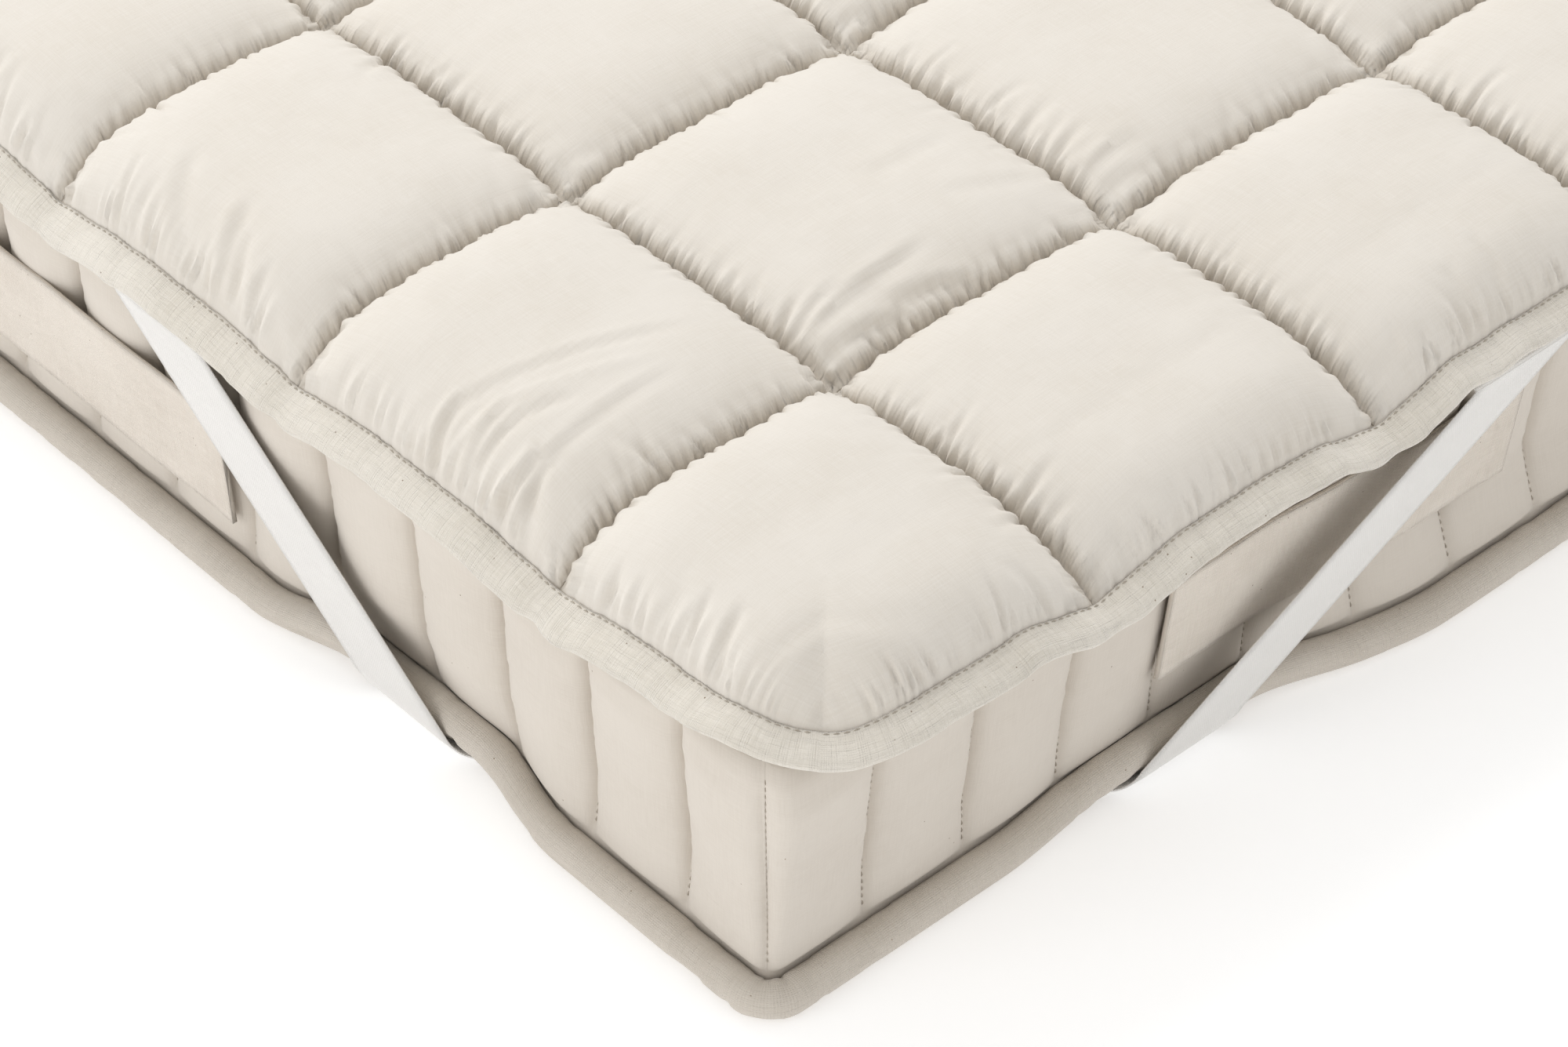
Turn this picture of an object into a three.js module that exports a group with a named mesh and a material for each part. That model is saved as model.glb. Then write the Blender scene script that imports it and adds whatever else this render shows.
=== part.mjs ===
import * as THREE from 'three';

// Quilted mattress pad with elastic corner bands, lying on a plain mattress.
// Millimetres, +Z up, floor at z = 0, centre of the bed at x = y = 0.

// Overall sizes
const WIDTH = 1400;
const LENGTH = 2000;
const MATTRESS_LENGTH = 1938;
const MATTRESS_TOP = 160;
const CLEAR = 0.3;

// Quilting of the pad
const SQUARES_ACROSS = 8;
const SQUARES_ALONG = 11;
const SEWN_HEIGHT = 12;
const CROWN = 27;
const CROWN_FULLNESS = 4;
const INNER_STEPS = [0, 0.08, 0.3, 0.7, 0.92];
const EDGE_STEPS = [0, 20, 40, 59, 104, 148];

// Edge of the pad, where it bends down over the mattress and is bound
const PAD_CORNER = 75;
const SEAM_INSET = 16;
const EDGE_DROP = 30;
const EDGE_REACH = 50;
const TAPE_SLOPE = 0.45;
const CORNER_DROP = 0.4;
const CORNER_SPREAD = 150;
const EDGE_LIFT = 4.6;
const WEDGE_HALF = 1.5;
const WEDGE_TIP = 8;
const SEWN_REACH = 80;
const LINE_DIP = -5;
const BULGE_LIFT = 4;
const BULGE_INSET = 1;
const BULGE_STEP = 0.3;
const BULGE_REACH = 60;

// Folded binding: distance from the outer edge and height above the fold's middle
const BINDING_SECTION = [
  { inset: SEAM_INSET, height: -4.3 },
  { inset: 4, height: -3.6 },
  { inset: 0, height: 0 },
  { inset: 4, height: 3.6 },
  { inset: SEAM_INSET, height: 4.3 },
  { inset: SEAM_INSET, height: 2.3 },
  { inset: 3, height: 0 },
  { inset: SEAM_INSET, height: -2.3 },
];

// Mattress outline and the sewn upright lines of its border. The short sides lean out at the top, the
// bottom of them bows out between the corners, and the bands draw in the long sides further.
const MATTRESS_CORNER = 24;
const CHANNEL_DEPTH = 7;
const CHANNEL_STEPS = [0, 0.3, 0.7];
const CORNER_STEPS = [0.3, 0.6, 0.74, 0.83, 0.92];
const CORNER_CHANNEL = 0.2;
const SHORT_SIDE = { length: WIDTH, firstLine: 72, channels: 21, waist: 3, lean: 6, bow: 19 };
const LONG_SIDE = { length: MATTRESS_LENGTH, firstLine: 72, channels: 29, waist: 11.5, lean: 0, bow: 0 };
const SEAM_SHIFT = 2;
const BOW_START = 300;
const BOW_RAMP = 120;

// Rings of the mattress from the bottom panel up to the edge of the top panel, with the share of each
// bend of the border that they take
const MATTRESS_LEVELS = [
  { z: 3.6, inset: 17, channel: 0, waist: 1, lean: 0, bow: 1 },
  { z: 17.5, inset: 17, channel: 0, waist: 1, lean: 0, bow: 1 },
  { z: 21, inset: 14, channel: 0.4, waist: 1, lean: 0, bow: 1 },
  { z: 55, inset: 12.3, channel: 1, waist: 0.3, lean: 0.34, bow: 0.35 },
  { z: 120, inset: 9, channel: 1, waist: 0.3, lean: 1, bow: 0.35 },
  { z: 137, inset: 11, channel: 0.6, waist: 0, lean: 1, bow: 0.35 },
];
const TOP_PANEL_INSET = 57;

// Middle of the bottom panel, which lies on the floor clear of the bands
const PANEL_EDGE_INSET = 200;
const PANEL_REST_INSET = 230;

// Bottom roll, drawn in and lifted where a band passes under it
const ROLL_RADIUS = 9;
const ROLL_SIDES = 8;
const ROLL_LINES_KEPT = 7;
const WAIST_LIFT = 4.8;
const WAIST_CENTRE = 255;
const WAIST_FULL = 75;
const WAIST_END = 128;
const WAIST_SHOULDER = 0.35;

// Elastic band: its inner face, from under the binding to under the bottom panel
const BAND_WIDTH = 42;
const BAND_THICKNESS = 1.4;
const BAND_WRAP_RADIUS = 9.9;
const BAND_WRAP_STEPS = 6;
const BAND_TOP_FACE = [
  { inset: 15, z: 147.6 },
  { inset: 6.4, z: 144 },
  { inset: 5.1, z: 143 },
  { inset: 5.2, z: 140.8 },
];

// Places of a band's middle line from the pad's corner: at the binding, at the start of the wrap and at
// the start of the run under the mattress
const SHORT_BAND = { edge: 436, wrap: 262, floor: 248, sideInset: (LENGTH - MATTRESS_LENGTH) / 2 };
const LONG_BAND = { edge: 455, wrap: 294, floor: 280, sideInset: 0 };

// Handles: flat strips that lie along the border
const HANDLE_THICKNESS = 2;
const HANDLE_GAP = 0.5;
const SHORT_HANDLE = { start: 243, end: 466, bottom: 56, top: 119 };
const LONG_HANDLE = { start: 386, end: 609, bottom: 39, top: 103 };

const COLOURS = {
  quilting: 0xeee8dc,
  binding: 0xe4e0d2,
  elastic: 0xdfdeda,
  border: 0xddd5ca,
  roll: 0xd0c7ba,
  canvas: 0xd8cec0,
};

// Sides of the bed, walked anticlockwise seen from above
const SHORT_PARTS = { plan: SHORT_SIDE, band: SHORT_BAND, handle: SHORT_HANDLE };
const LONG_PARTS = { plan: LONG_SIDE, band: LONG_BAND, handle: LONG_HANDLE };
const SIDES = [
  { along: [1, 0], inward: [0, 1], start: [-1, -1], ...SHORT_PARTS },
  { along: [0, 1], inward: [-1, 0], start: [1, -1], ...LONG_PARTS },
  { along: [-1, 0], inward: [0, -1], start: [1, 1], ...SHORT_PARTS },
  { along: [0, -1], inward: [1, 0], start: [-1, 1], ...LONG_PARTS },
];

const group = new THREE.Group();

function mix(a, b, t) {
  return a + (b - a) * t;
}

function smooth(t) {
  const c = Math.min(1, Math.max(0, t));
  return c * c * (3 - 2 * c);
}

// Points and triangles of one closed body
class Body {
  constructor() {
    this.points = [];
    this.triangles = [];
  }

  point(x, y, z) {
    this.points.push(x, y, z);
    return this.points.length / 3 - 1;
  }

  ring(list) {
    return list.map(([x, y, z]) => this.point(x, y, z));
  }

  quad(a, b, c, d) {
    this.triangles.push(a, b, c, a, c, d);
  }

  // Joins two rings of equal length, the first one lower or further out
  strip(low, high) {
    const count = low.length;
    for (let k = 0; k < count; k += 1) {
      const next = (k + 1) % count;
      this.quad(low[k], low[next], high[next], high[k]);
    }
  }

  // Closes a ring with a flat fan around its centre
  cap(ring, z, faceUp) {
    const centre = this.point(0, 0, z);
    const count = ring.length;
    for (let k = 0; k < count; k += 1) {
      const next = (k + 1) % count;
      if (faceUp) {
        this.triangles.push(centre, ring[k], ring[next]);
      } else {
        this.triangles.push(centre, ring[next], ring[k]);
      }
    }
  }

  // Closes the gap between a ring and the rectangle inside it, facing down
  frame(ring, rectangle) {
    const nearest = ring.map((id) => {
      const right = this.points[3 * id] > 0;
      const back = this.points[3 * id + 1] > 0;
      if (back) {
        return rectangle[right ? 2 : 3];
      }
      return rectangle[right ? 1 : 0];
    });
    for (let k = 0; k < ring.length; k += 1) {
      const next = (k + 1) % ring.length;
      this.triangles.push(nearest[k], ring[next], ring[k]);
      if (nearest[next] !== nearest[k]) {
        this.triangles.push(nearest[k], nearest[next], ring[next]);
      }
    }
  }

  // Sweeps sections that list their corners from the bottom outwards and over the top
  sweep(sections, closed) {
    const rows = sections.map((section) => this.ring(section));
    const corners = sections[0].length;
    const spans = closed ? rows.length : rows.length - 1;
    for (let k = 0; k < spans; k += 1) {
      const here = rows[k];
      const there = rows[(k + 1) % rows.length];
      for (let j = 0; j < corners; j += 1) {
        const up = (j + 1) % corners;
        this.quad(here[j], there[j], there[up], here[up]);
      }
    }
    if (!closed) {
      const last = rows[rows.length - 1];
      for (let j = 1; j < corners - 1; j += 1) {
        this.triangles.push(rows[0][0], rows[0][j], rows[0][j + 1]);
        this.triangles.push(last[0], last[j + 1], last[j]);
      }
    }
  }

  add(name, slot) {
    const geometry = new THREE.BufferGeometry();
    geometry.setAttribute('position', new THREE.Float32BufferAttribute(this.points, 3));
    geometry.setIndex(this.triangles);
    geometry.computeVertexNormals();
    const material = new THREE.MeshStandardMaterial({ color: COLOURS[slot], roughness: 0.9 });
    material.name = slot;
    const mesh = new THREE.Mesh(geometry, material);
    mesh.name = name;
    group.add(mesh);
  }
}

// Height lost by the pad where it bends over the mattress edge, less steep under the tape
function edgeDrop(inset) {
  const rest = Math.max(0, 1 - Math.max(inset, SEAM_INSET) / EDGE_REACH);
  return EDGE_DROP * rest ** 2 + TAPE_SLOPE * Math.max(0, SEAM_INSET - inset);
}

// Share of that drop near a corner, where the pad stands out flatter
function cornerShare(fromX, fromY) {
  return mix(CORNER_DROP, 1, smooth(Math.max(fromX, fromY) / CORNER_SPREAD));
}

// How full the edge stands between two sewn lines
function edgeFullness(line) {
  return smooth(Math.min(line.t, 1 - line.t) / BULGE_STEP);
}

// Rise of the edge between two sewn lines, and its dip where a line ends away from the corners
function edgeWave(line, fromCorner) {
  return mix(LINE_DIP * smooth(fromCorner / CORNER_SPREAD), BULGE_LIFT, edgeFullness(line));
}

// Middle height of the fold at a distance from the outer edge
function foldHeight(inset, share) {
  return MATTRESS_TOP + CLEAR - share * edgeDrop(inset) + EDGE_LIFT;
}

function crown(t) {
  const fromMiddle = Math.abs(2 * t - 1);
  return Math.sqrt(1 - fromMiddle ** CROWN_FULLNESS);
}

// Grid lines over one direction of the pad: distance from the middle and place in their square
function gridLines(length, squares) {
  const size = length / squares;
  const edgeSize = size - SEAM_INSET;
  const low = -length / 2;
  const lines = [];
  for (const step of EDGE_STEPS) {
    lines.push({ at: low + SEAM_INSET + step, t: step / edgeSize, toLine: edgeSize - step });
  }
  for (let n = 1; n < squares - 1; n += 1) {
    for (const t of INNER_STEPS) {
      lines.push({ at: low + (n + t) * size, t, toLine: Math.min(t, 1 - t) * size });
    }
  }
  lines.push({ at: -low - size, t: 0, toLine: 0 });
  for (const step of [...EDGE_STEPS].reverse()) {
    lines.push({ at: -low - SEAM_INSET - step, t: step / edgeSize, toLine: edgeSize - step });
  }
  return lines;
}

// Top of the pad at a grid crossing, with the corner rounded and the edge waved between its sewn lines
function padPoint(column, row) {
  const fromX = WIDTH / 2 - SEAM_INSET - Math.abs(column.at);
  const fromY = LENGTH / 2 - SEAM_INSET - Math.abs(row.at);
  const radius = PAD_CORNER - SEAM_INSET;
  const sideX = Math.sign(column.at);
  const sideY = Math.sign(row.at);
  let insetX = fromX;
  let insetY = fromY;
  if (fromX < radius && fromY < radius) {
    const backX = radius - fromX;
    const backY = radius - fromY;
    const reach = Math.max(backX, backY);
    const turn = (Math.PI / 4) * (Math.min(backX, backY) / reach);
    const wide = reach * Math.cos(turn);
    const narrow = reach * Math.sin(turn);
    insetX = radius - (backX >= backY ? wide : narrow);
    insetY = radius - (backX >= backY ? narrow : wide);
  }
  const inset = Math.min(fromX, fromY);
  const onLongSide = fromX < fromY;
  const edge = onLongSide ? row : column;
  const nearEdge = Math.max(0, 1 - inset / BULGE_REACH);
  const wave = nearEdge * edgeWave(edge, Math.max(fromX, fromY));
  const drawnIn = nearEdge * BULGE_INSET * edgeFullness(edge);
  insetX += onLongSide ? drawnIn : 0;
  insetY += onLongSide ? 0 : drawnIn;
  const lying = MATTRESS_TOP + CLEAR - cornerShare(fromX, fromY) * edgeDrop(inset + SEAM_INSET);
  const sewn = mix(EDGE_LIFT + WEDGE_HALF, SEWN_HEIGHT, smooth(inset / SEWN_REACH));
  return [
    sideX * (WIDTH / 2 - SEAM_INSET - insetX),
    sideY * (LENGTH / 2 - SEAM_INSET - insetY),
    lying + sewn + wave + CROWN * crown(column.t) * crown(row.t),
  ];
}

// Inward direction of the pad's outline at a grid crossing on its seam
function padInward(column, row) {
  const radius = PAD_CORNER - SEAM_INSET;
  const centreX = WIDTH / 2 - PAD_CORNER;
  const centreY = LENGTH / 2 - PAD_CORNER;
  const fromX = WIDTH / 2 - SEAM_INSET - Math.abs(column.at);
  const fromY = LENGTH / 2 - SEAM_INSET - Math.abs(row.at);
  if (fromX < radius && fromY < radius) {
    const [x, y] = padPoint(column, row);
    const dx = Math.sign(x) * centreX - x;
    const dy = Math.sign(y) * centreY - y;
    const size = Math.hypot(dx, dy);
    return [dx / size, dy / size];
  }
  return fromX < fromY ? [-Math.sign(column.at), 0] : [0, -Math.sign(row.at)];
}

// Quilted pad and its binding
const columns = gridLines(WIDTH, SQUARES_ACROSS);
const rows = gridLines(LENGTH, SQUARES_ALONG);
const lastColumn = columns.length - 1;
const lastRow = rows.length - 1;

const pad = new Body();
const grid = columns.map((column) => rows.map((row) => pad.point(...padPoint(column, row))));
for (let i = 0; i < lastColumn; i += 1) {
  for (let j = 0; j < lastRow; j += 1) {
    pad.quad(grid[i][j], grid[i + 1][j], grid[i + 1][j + 1], grid[i][j + 1]);
  }
}

const edgeCrossings = [];
for (let i = 0; i < lastColumn; i += 1) {
  edgeCrossings.push([i, 0]);
}
for (let j = 0; j < lastRow; j += 1) {
  edgeCrossings.push([lastColumn, j]);
}
for (let i = lastColumn; i > 0; i -= 1) {
  edgeCrossings.push([i, lastRow]);
}
for (let j = lastRow; j > 0; j -= 1) {
  edgeCrossings.push([0, j]);
}

const padEdge = edgeCrossings.map(([i, j]) => {
  const column = columns[i];
  const row = rows[j];
  const [x, y] = padPoint(column, row);
  const fromX = WIDTH / 2 - SEAM_INSET - Math.abs(column.at);
  const fromY = LENGTH / 2 - SEAM_INSET - Math.abs(row.at);
  const wave = edgeWave(fromX < fromY ? row : column, Math.max(fromX, fromY));
  return { x, y, inward: padInward(column, row), share: cornerShare(fromX, fromY), wave };
});

// Ring around the pad at a distance from its outer edge and a height above the fold's middle
function padRing(inset, height) {
  return padEdge.map(({ x, y, inward, share, wave }) => {
    const move = inset - SEAM_INSET;
    const onEdge = inset > SEAM_INSET ? 0 : wave;
    return [x + inward[0] * move, y + inward[1] * move, foldHeight(inset, share) + onEdge + height];
  });
}

const padTopRing = edgeCrossings.map(([i, j]) => grid[i][j]);
const padTipRing = pad.ring(padRing(WEDGE_TIP, 0));
const padUnderRing = pad.ring(padRing(SEAM_INSET, -WEDGE_HALF));
const padFlatRing = pad.ring(padRing(EDGE_REACH, -EDGE_LIFT));
pad.cap(padFlatRing, MATTRESS_TOP + CLEAR, false);
pad.strip(padFlatRing, padUnderRing);
pad.strip(padUnderRing, padTipRing);
pad.strip(padTipRing, padTopRing);
pad.add('pad', 'quilting');

const binding = new Body();
const bindingRings = BINDING_SECTION.map(({ inset, height }) => padRing(inset, height));
const bindingSections = padEdge.map((_, k) => bindingRings.map((ring) => ring[k]));
binding.sweep(bindingSections, true);
binding.add('pad_binding', 'binding');

// Share of the waist at a sewn line of the border
function waistAtLine(along) {
  const away = Math.abs(along - WAIST_CENTRE);
  if (away <= WAIST_FULL) {
    return 1;
  }
  return away <= WAIST_END ? WAIST_SHOULDER : 0;
}

function channelPitch(plan) {
  return (plan.length - 2 * plan.firstLine) / plan.channels;
}

// Share of the bow at a sewn line of the border
function bowAtLine(along) {
  return smooth((along - BOW_START) / BOW_RAMP);
}

// A share between sewn lines, straight from line to line
function shareBetween(plan, along, shareAtLine) {
  const pitch = channelPitch(plan);
  const place = (along - plan.firstLine) / pitch;
  const line = Math.floor(place);
  if (line < 0) {
    return 0;
  }
  const low = shareAtLine(plan.firstLine + line * pitch);
  const high = shareAtLine(plan.firstLine + (line + 1) * pitch);
  return mix(low, high, place - line);
}

// Station of the mattress outline on a straight side
function sideStation(side, along, channel) {
  const { plan } = side;
  const fromCorner = Math.min(along, plan.length - along);
  const waist = shareBetween(plan, fromCorner, waistAtLine);
  return {
    x: (side.start[0] * WIDTH) / 2 + side.along[0] * along,
    y: (side.start[1] * MATTRESS_LENGTH) / 2 + side.along[1] * along,
    inward: side.inward,
    channel,
    lift: WAIST_LIFT * waist,
    waist: plan.waist * waist,
    lean: plan.lean,
    bow: plan.bow * shareBetween(plan, fromCorner, bowAtLine),
  };
}

// Station around the corner at the end of a side, counted along the outline from the corner's middle
function cornerStation(side, next, distance, channel) {
  const halfArc = (MATTRESS_CORNER * Math.PI) / 4;
  if (distance <= -halfArc) {
    return sideStation(side, side.plan.length - MATTRESS_CORNER - (-distance - halfArc), channel);
  }
  if (distance >= halfArc) {
    return sideStation(next, MATTRESS_CORNER + distance - halfArc, channel);
  }
  const turn = (distance + halfArc) / MATTRESS_CORNER;
  const inward = [
    Math.cos(turn) * side.inward[0] + Math.sin(turn) * next.inward[0],
    Math.cos(turn) * side.inward[1] + Math.sin(turn) * next.inward[1],
  ];
  const inX = side.inward[0] + next.inward[0];
  const inY = side.inward[1] + next.inward[1];
  const centreX = (next.start[0] * WIDTH) / 2 + MATTRESS_CORNER * inX;
  const centreY = (next.start[1] * MATTRESS_LENGTH) / 2 + MATTRESS_CORNER * inY;
  return {
    x: centreX - MATTRESS_CORNER * inward[0],
    y: centreY - MATTRESS_CORNER * inward[1],
    inward,
    channel,
    lift: 0,
    waist: 0,
    lean: mix(side.plan.lean, next.plan.lean, Math.sin(turn) ** 2),
    bow: 0,
  };
}

// Whole outline of the mattress, and the fewer stations that its roll needs
const outline = [];
const rollOutline = [];
SIDES.forEach((side, n) => {
  const { plan } = side;
  const pitch = channelPitch(plan);
  for (let line = 0; line <= plan.channels; line += 1) {
    for (const step of CHANNEL_STEPS) {
      if (line < plan.channels || step === 0) {
        outline.push(sideStation(side, plan.firstLine + (line + step) * pitch, step === 0 ? 1 : 0));
      }
    }
    if (Math.min(line, plan.channels - line) < ROLL_LINES_KEPT) {
      rollOutline.push(sideStation(side, plan.firstLine + line * pitch, 0));
    }
  }
  const next = SIDES[(n + 1) % SIDES.length];
  const halfArc = (MATTRESS_CORNER * Math.PI) / 4;
  const from = -(plan.firstLine - MATTRESS_CORNER + halfArc);
  const seam = plan === SHORT_SIDE ? SEAM_SHIFT : -SEAM_SHIFT;
  const to = next.plan.firstLine - MATTRESS_CORNER + halfArc;
  for (const step of CORNER_STEPS) {
    const station = cornerStation(side, next, mix(from, seam, step), 0);
    outline.push(station);
    rollOutline.push(station);
  }
  outline.push(cornerStation(side, next, seam, CORNER_CHANNEL));
  rollOutline.push(cornerStation(side, next, seam, 0));
  for (const step of CORNER_STEPS) {
    const station = cornerStation(side, next, mix(seam, to, step), 0);
    outline.push(station);
    rollOutline.push(station);
  }
});

function insetPoint(station, inset, z) {
  return [station.x + station.inward[0] * inset, station.y + station.inward[1] * inset, z];
}

function panelRectangle(inset, z) {
  return SIDES.map(({ start }) => [
    start[0] * (WIDTH / 2 - inset),
    start[1] * (MATTRESS_LENGTH / 2 - inset),
    z,
  ]);
}

// Distance of the border's crest from the outline at one ring of the mattress
function crestInset(level, station) {
  return level.inset + level.waist * station.waist - level.lean * station.lean - level.bow * station.bow;
}

// Mattress with its upright channels
const mattress = new Body();
const mattressRings = MATTRESS_LEVELS.map((level) => {
  const ring = outline.map((station) => {
    const channel = CHANNEL_DEPTH * level.channel * station.channel;
    return insetPoint(station, crestInset(level, station) + channel, level.z);
  });
  return mattress.ring(ring);
});
const topShareX = 1 - TOP_PANEL_INSET / (WIDTH / 2);
const topShareY = 1 - TOP_PANEL_INSET / (MATTRESS_LENGTH / 2);
const topRing = outline.map(({ x, y }) => [x * topShareX, y * topShareY, MATTRESS_TOP]);
mattressRings.push(mattress.ring(topRing));
const panelEdge = mattress.ring(panelRectangle(PANEL_EDGE_INSET, MATTRESS_LEVELS[0].z));
const panelRest = mattress.ring(panelRectangle(PANEL_REST_INSET, 0));
mattress.cap(panelRest, 0, false);
mattress.strip(panelRest, panelEdge);
mattress.frame(mattressRings[0], panelEdge);
for (let k = 1; k < mattressRings.length; k += 1) {
  mattress.strip(mattressRings[k - 1], mattressRings[k]);
}
mattress.cap(mattressRings[mattressRings.length - 1], MATTRESS_TOP, true);
mattress.add('mattress', 'border');

// Roll around the bottom edge, flat where it lies on the floor
const rollHalf = ROLL_RADIUS * Math.cos(Math.PI / ROLL_SIDES);
const roll = new Body();
const rollSections = rollOutline.map((station) => {
  const section = [];
  for (let side = 0; side < ROLL_SIDES; side += 1) {
    const turn = ((side - 0.5) * 2 * Math.PI) / ROLL_SIDES;
    const inset = rollHalf - ROLL_RADIUS * Math.sin(turn) + station.waist - station.bow;
    const z = rollHalf - ROLL_RADIUS * Math.cos(turn) + station.lift;
    section.push(insetPoint(station, inset, z));
  }
  return section;
});
roll.sweep(rollSections, true);
roll.add('mattress_roll', 'roll');

// Inner face of half a band as a line of points with distance walked and outward direction
function bandFace({ plan, band }) {
  const wrapInset = band.sideInset + rollHalf + plan.waist;
  const wrapZ = rollHalf + WAIST_LIFT;
  const face = [...BAND_TOP_FACE];
  for (let step = 0; step <= BAND_WRAP_STEPS; step += 1) {
    const turn = (step / BAND_WRAP_STEPS) * (Math.PI / 2);
    face.push({
      inset: wrapInset - BAND_WRAP_RADIUS * Math.cos(turn),
      z: wrapZ - BAND_WRAP_RADIUS * Math.sin(turn),
    });
  }
  const last = face.length - 1;
  let walked = 0;
  return face.map((here, k) => {
    const before = face[Math.max(0, k - 1)];
    const after = face[Math.min(last, k + 1)];
    const run = Math.hypot(after.inset - before.inset, after.z - before.z);
    walked += k === 0 ? 0 : Math.hypot(here.inset - before.inset, here.z - before.z);
    const outward = k === last ? [0, -1] : [(after.z - before.z) / run, (before.inset - after.inset) / run];
    return { ...here, walked, outward };
  });
}

// Four corners of the band's section at each station of half a band, running along the side
function bandHalf(side) {
  const { band } = side;
  const face = bandFace(side);
  const knots = [
    { walked: 0, along: band.edge },
    { walked: face[2].walked, along: band.edge },
    { walked: face[BAND_TOP_FACE.length].walked, along: band.wrap },
    { walked: face[face.length - 1].walked, along: band.floor },
  ];
  const slant = (band.edge - band.wrap) / (knots[2].walked - knots[1].walked);
  const halfAlong = (BAND_WIDTH / 2) * Math.hypot(1, slant);
  return face.map((here) => {
    let k = 1;
    while (k < knots.length - 1 && knots[k].walked < here.walked) {
      k += 1;
    }
    const t = (here.walked - knots[k - 1].walked) / (knots[k].walked - knots[k - 1].walked);
    const middle = mix(knots[k - 1].along, knots[k].along, t);
    const corner = (edge, offset) => ({
      inset: here.inset + here.outward[0] * offset,
      z: here.z + here.outward[1] * offset,
      along: middle + edge * halfAlong,
    });
    return [corner(1, 0), corner(1, BAND_THICKNESS), corner(-1, BAND_THICKNESS), corner(-1, 0)];
  });
}

// One band around each corner, its two halves joined straight across under the mattress
SIDES.forEach((side, n) => {
  const next = SIDES[(n + 1) % SIDES.length];
  const cornerX = (next.start[0] * WIDTH) / 2;
  const cornerY = (next.start[1] * LENGTH) / 2;
  const place = (point, alongWay, insetWay) => [
    cornerX + alongWay[0] * point.along + insetWay[0] * point.inset,
    cornerY + alongWay[1] * point.along + insetWay[1] * point.inset,
    point.z,
  ];
  const onSide = (point) => place(point, next.inward, side.inward);
  const onNext = (point) => place(point, side.inward, next.inward);
  const first = bandHalf(side).map((section) => section.map(onSide));
  const second = bandHalf(next).map((section) => section.map(onNext));
  const body = new Body();
  body.sweep([...first, ...second.reverse()], false);
  body.add(`elastic_band_${n + 1}`, 'elastic');
});

// Distance from the outline of the border's flat middle part, carried on straight below it
const [borderLow, borderHigh] = MATTRESS_LEVELS.slice(3, 5);

function crestAt(station, z) {
  const t = (z - borderLow.z) / (borderHigh.z - borderLow.z);
  return mix(crestInset(borderLow, station), crestInset(borderHigh, station), t);
}

// Section of a handle at a place along its side
function handleSection(side, along) {
  const { handle } = side;
  const station = sideStation(side, along, 0);
  const bottom = crestAt(station, handle.bottom) - HANDLE_GAP;
  const top = crestAt(station, handle.top) - HANDLE_GAP;
  return [
    insetPoint(station, bottom, handle.bottom),
    insetPoint(station, bottom - HANDLE_THICKNESS, handle.bottom),
    insetPoint(station, top - HANDLE_THICKNESS, handle.top),
    insetPoint(station, top, handle.top),
  ];
}

// Distances from the corner at which a handle bends: its ends and the sewn lines behind it
function handlePlaces({ plan, handle }) {
  const { start, end } = handle;
  const places = [start];
  const pitch = channelPitch(plan);
  for (let line = 0; line < plan.channels; line += 1) {
    const at = plan.firstLine + line * pitch;
    if (at > start && at < end) {
      places.push(at);
    }
  }
  places.push(end);
  return places;
}

// Two handles on each side, mirrored about its middle
SIDES.forEach((side, n) => {
  const near = handlePlaces(side);
  const far = near.map((along) => side.plan.length - along).reverse();
  [near, far].forEach((places, k) => {
    const body = new Body();
    body.sweep(places.map((along) => handleSection(side, along)), false);
    body.add(`handle_${2 * n + k + 1}`, 'canvas');
  });
});

export default group;
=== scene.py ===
# %% [markdown]
# # A quilted mattress pad on its mattress
#
# The pad is a cotton cover filled with fleece and sewn through in squares. Its edge is closed with a
# folded tape, and one elastic band at each corner holds it on a mattress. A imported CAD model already
# gives every piece its place, so this lesson only dresses it: each CAD solid is replaced by a cloth piece
# with the folds, seams and finish of the real one. Lengths are worked out in millimetres and turned into
# metres when a mesh is made, because that is how a sewer would measure them.

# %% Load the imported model
import math
import bmesh
import bpy
import numpy as np
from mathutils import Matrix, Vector


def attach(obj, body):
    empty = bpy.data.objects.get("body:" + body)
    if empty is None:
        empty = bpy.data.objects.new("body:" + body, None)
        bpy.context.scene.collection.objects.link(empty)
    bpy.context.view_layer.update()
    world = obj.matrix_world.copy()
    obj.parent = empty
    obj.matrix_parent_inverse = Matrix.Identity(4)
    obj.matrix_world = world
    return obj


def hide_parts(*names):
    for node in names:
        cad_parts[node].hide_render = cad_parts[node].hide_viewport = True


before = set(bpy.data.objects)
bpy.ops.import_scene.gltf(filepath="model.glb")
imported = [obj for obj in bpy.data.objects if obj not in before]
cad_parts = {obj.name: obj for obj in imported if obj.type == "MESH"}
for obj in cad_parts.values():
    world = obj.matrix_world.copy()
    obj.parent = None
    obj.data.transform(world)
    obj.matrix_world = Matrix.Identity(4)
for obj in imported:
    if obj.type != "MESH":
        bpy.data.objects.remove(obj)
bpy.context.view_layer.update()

# %% [markdown]
# The bed lies with its middle at the origin and its underside on the floor. The photograph looks down on
# one corner, at low X and low Y, from a little over two metres away through a long lens. The place of the
# camera was found by fitting the crossings of the sewn lines, which are evenly spaced on the real pad.
# A long lens keeps parallel edges nearly parallel, so the lens matters as much as the place.

# %% Camera at the photograph's angle
CAMERA_PLACE = (-1.6347, -2.0186, 1.5482)
CAMERA_AIM = (-0.5978, -0.8674, 0.1723)
CAMERA_LENS, SENSOR_WIDTH = 111.07, 36.0
FAR_CLIP = 200.0

scene = bpy.context.scene


def place_and_aim(thing, place, target):
    """Puts a camera or a lamp at a place, turned towards a point."""
    thing.location = place
    thing.rotation_euler = (Vector(target) - Vector(place)).to_track_quat("-Z", "Y").to_euler()
    scene.collection.objects.link(thing)


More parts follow.
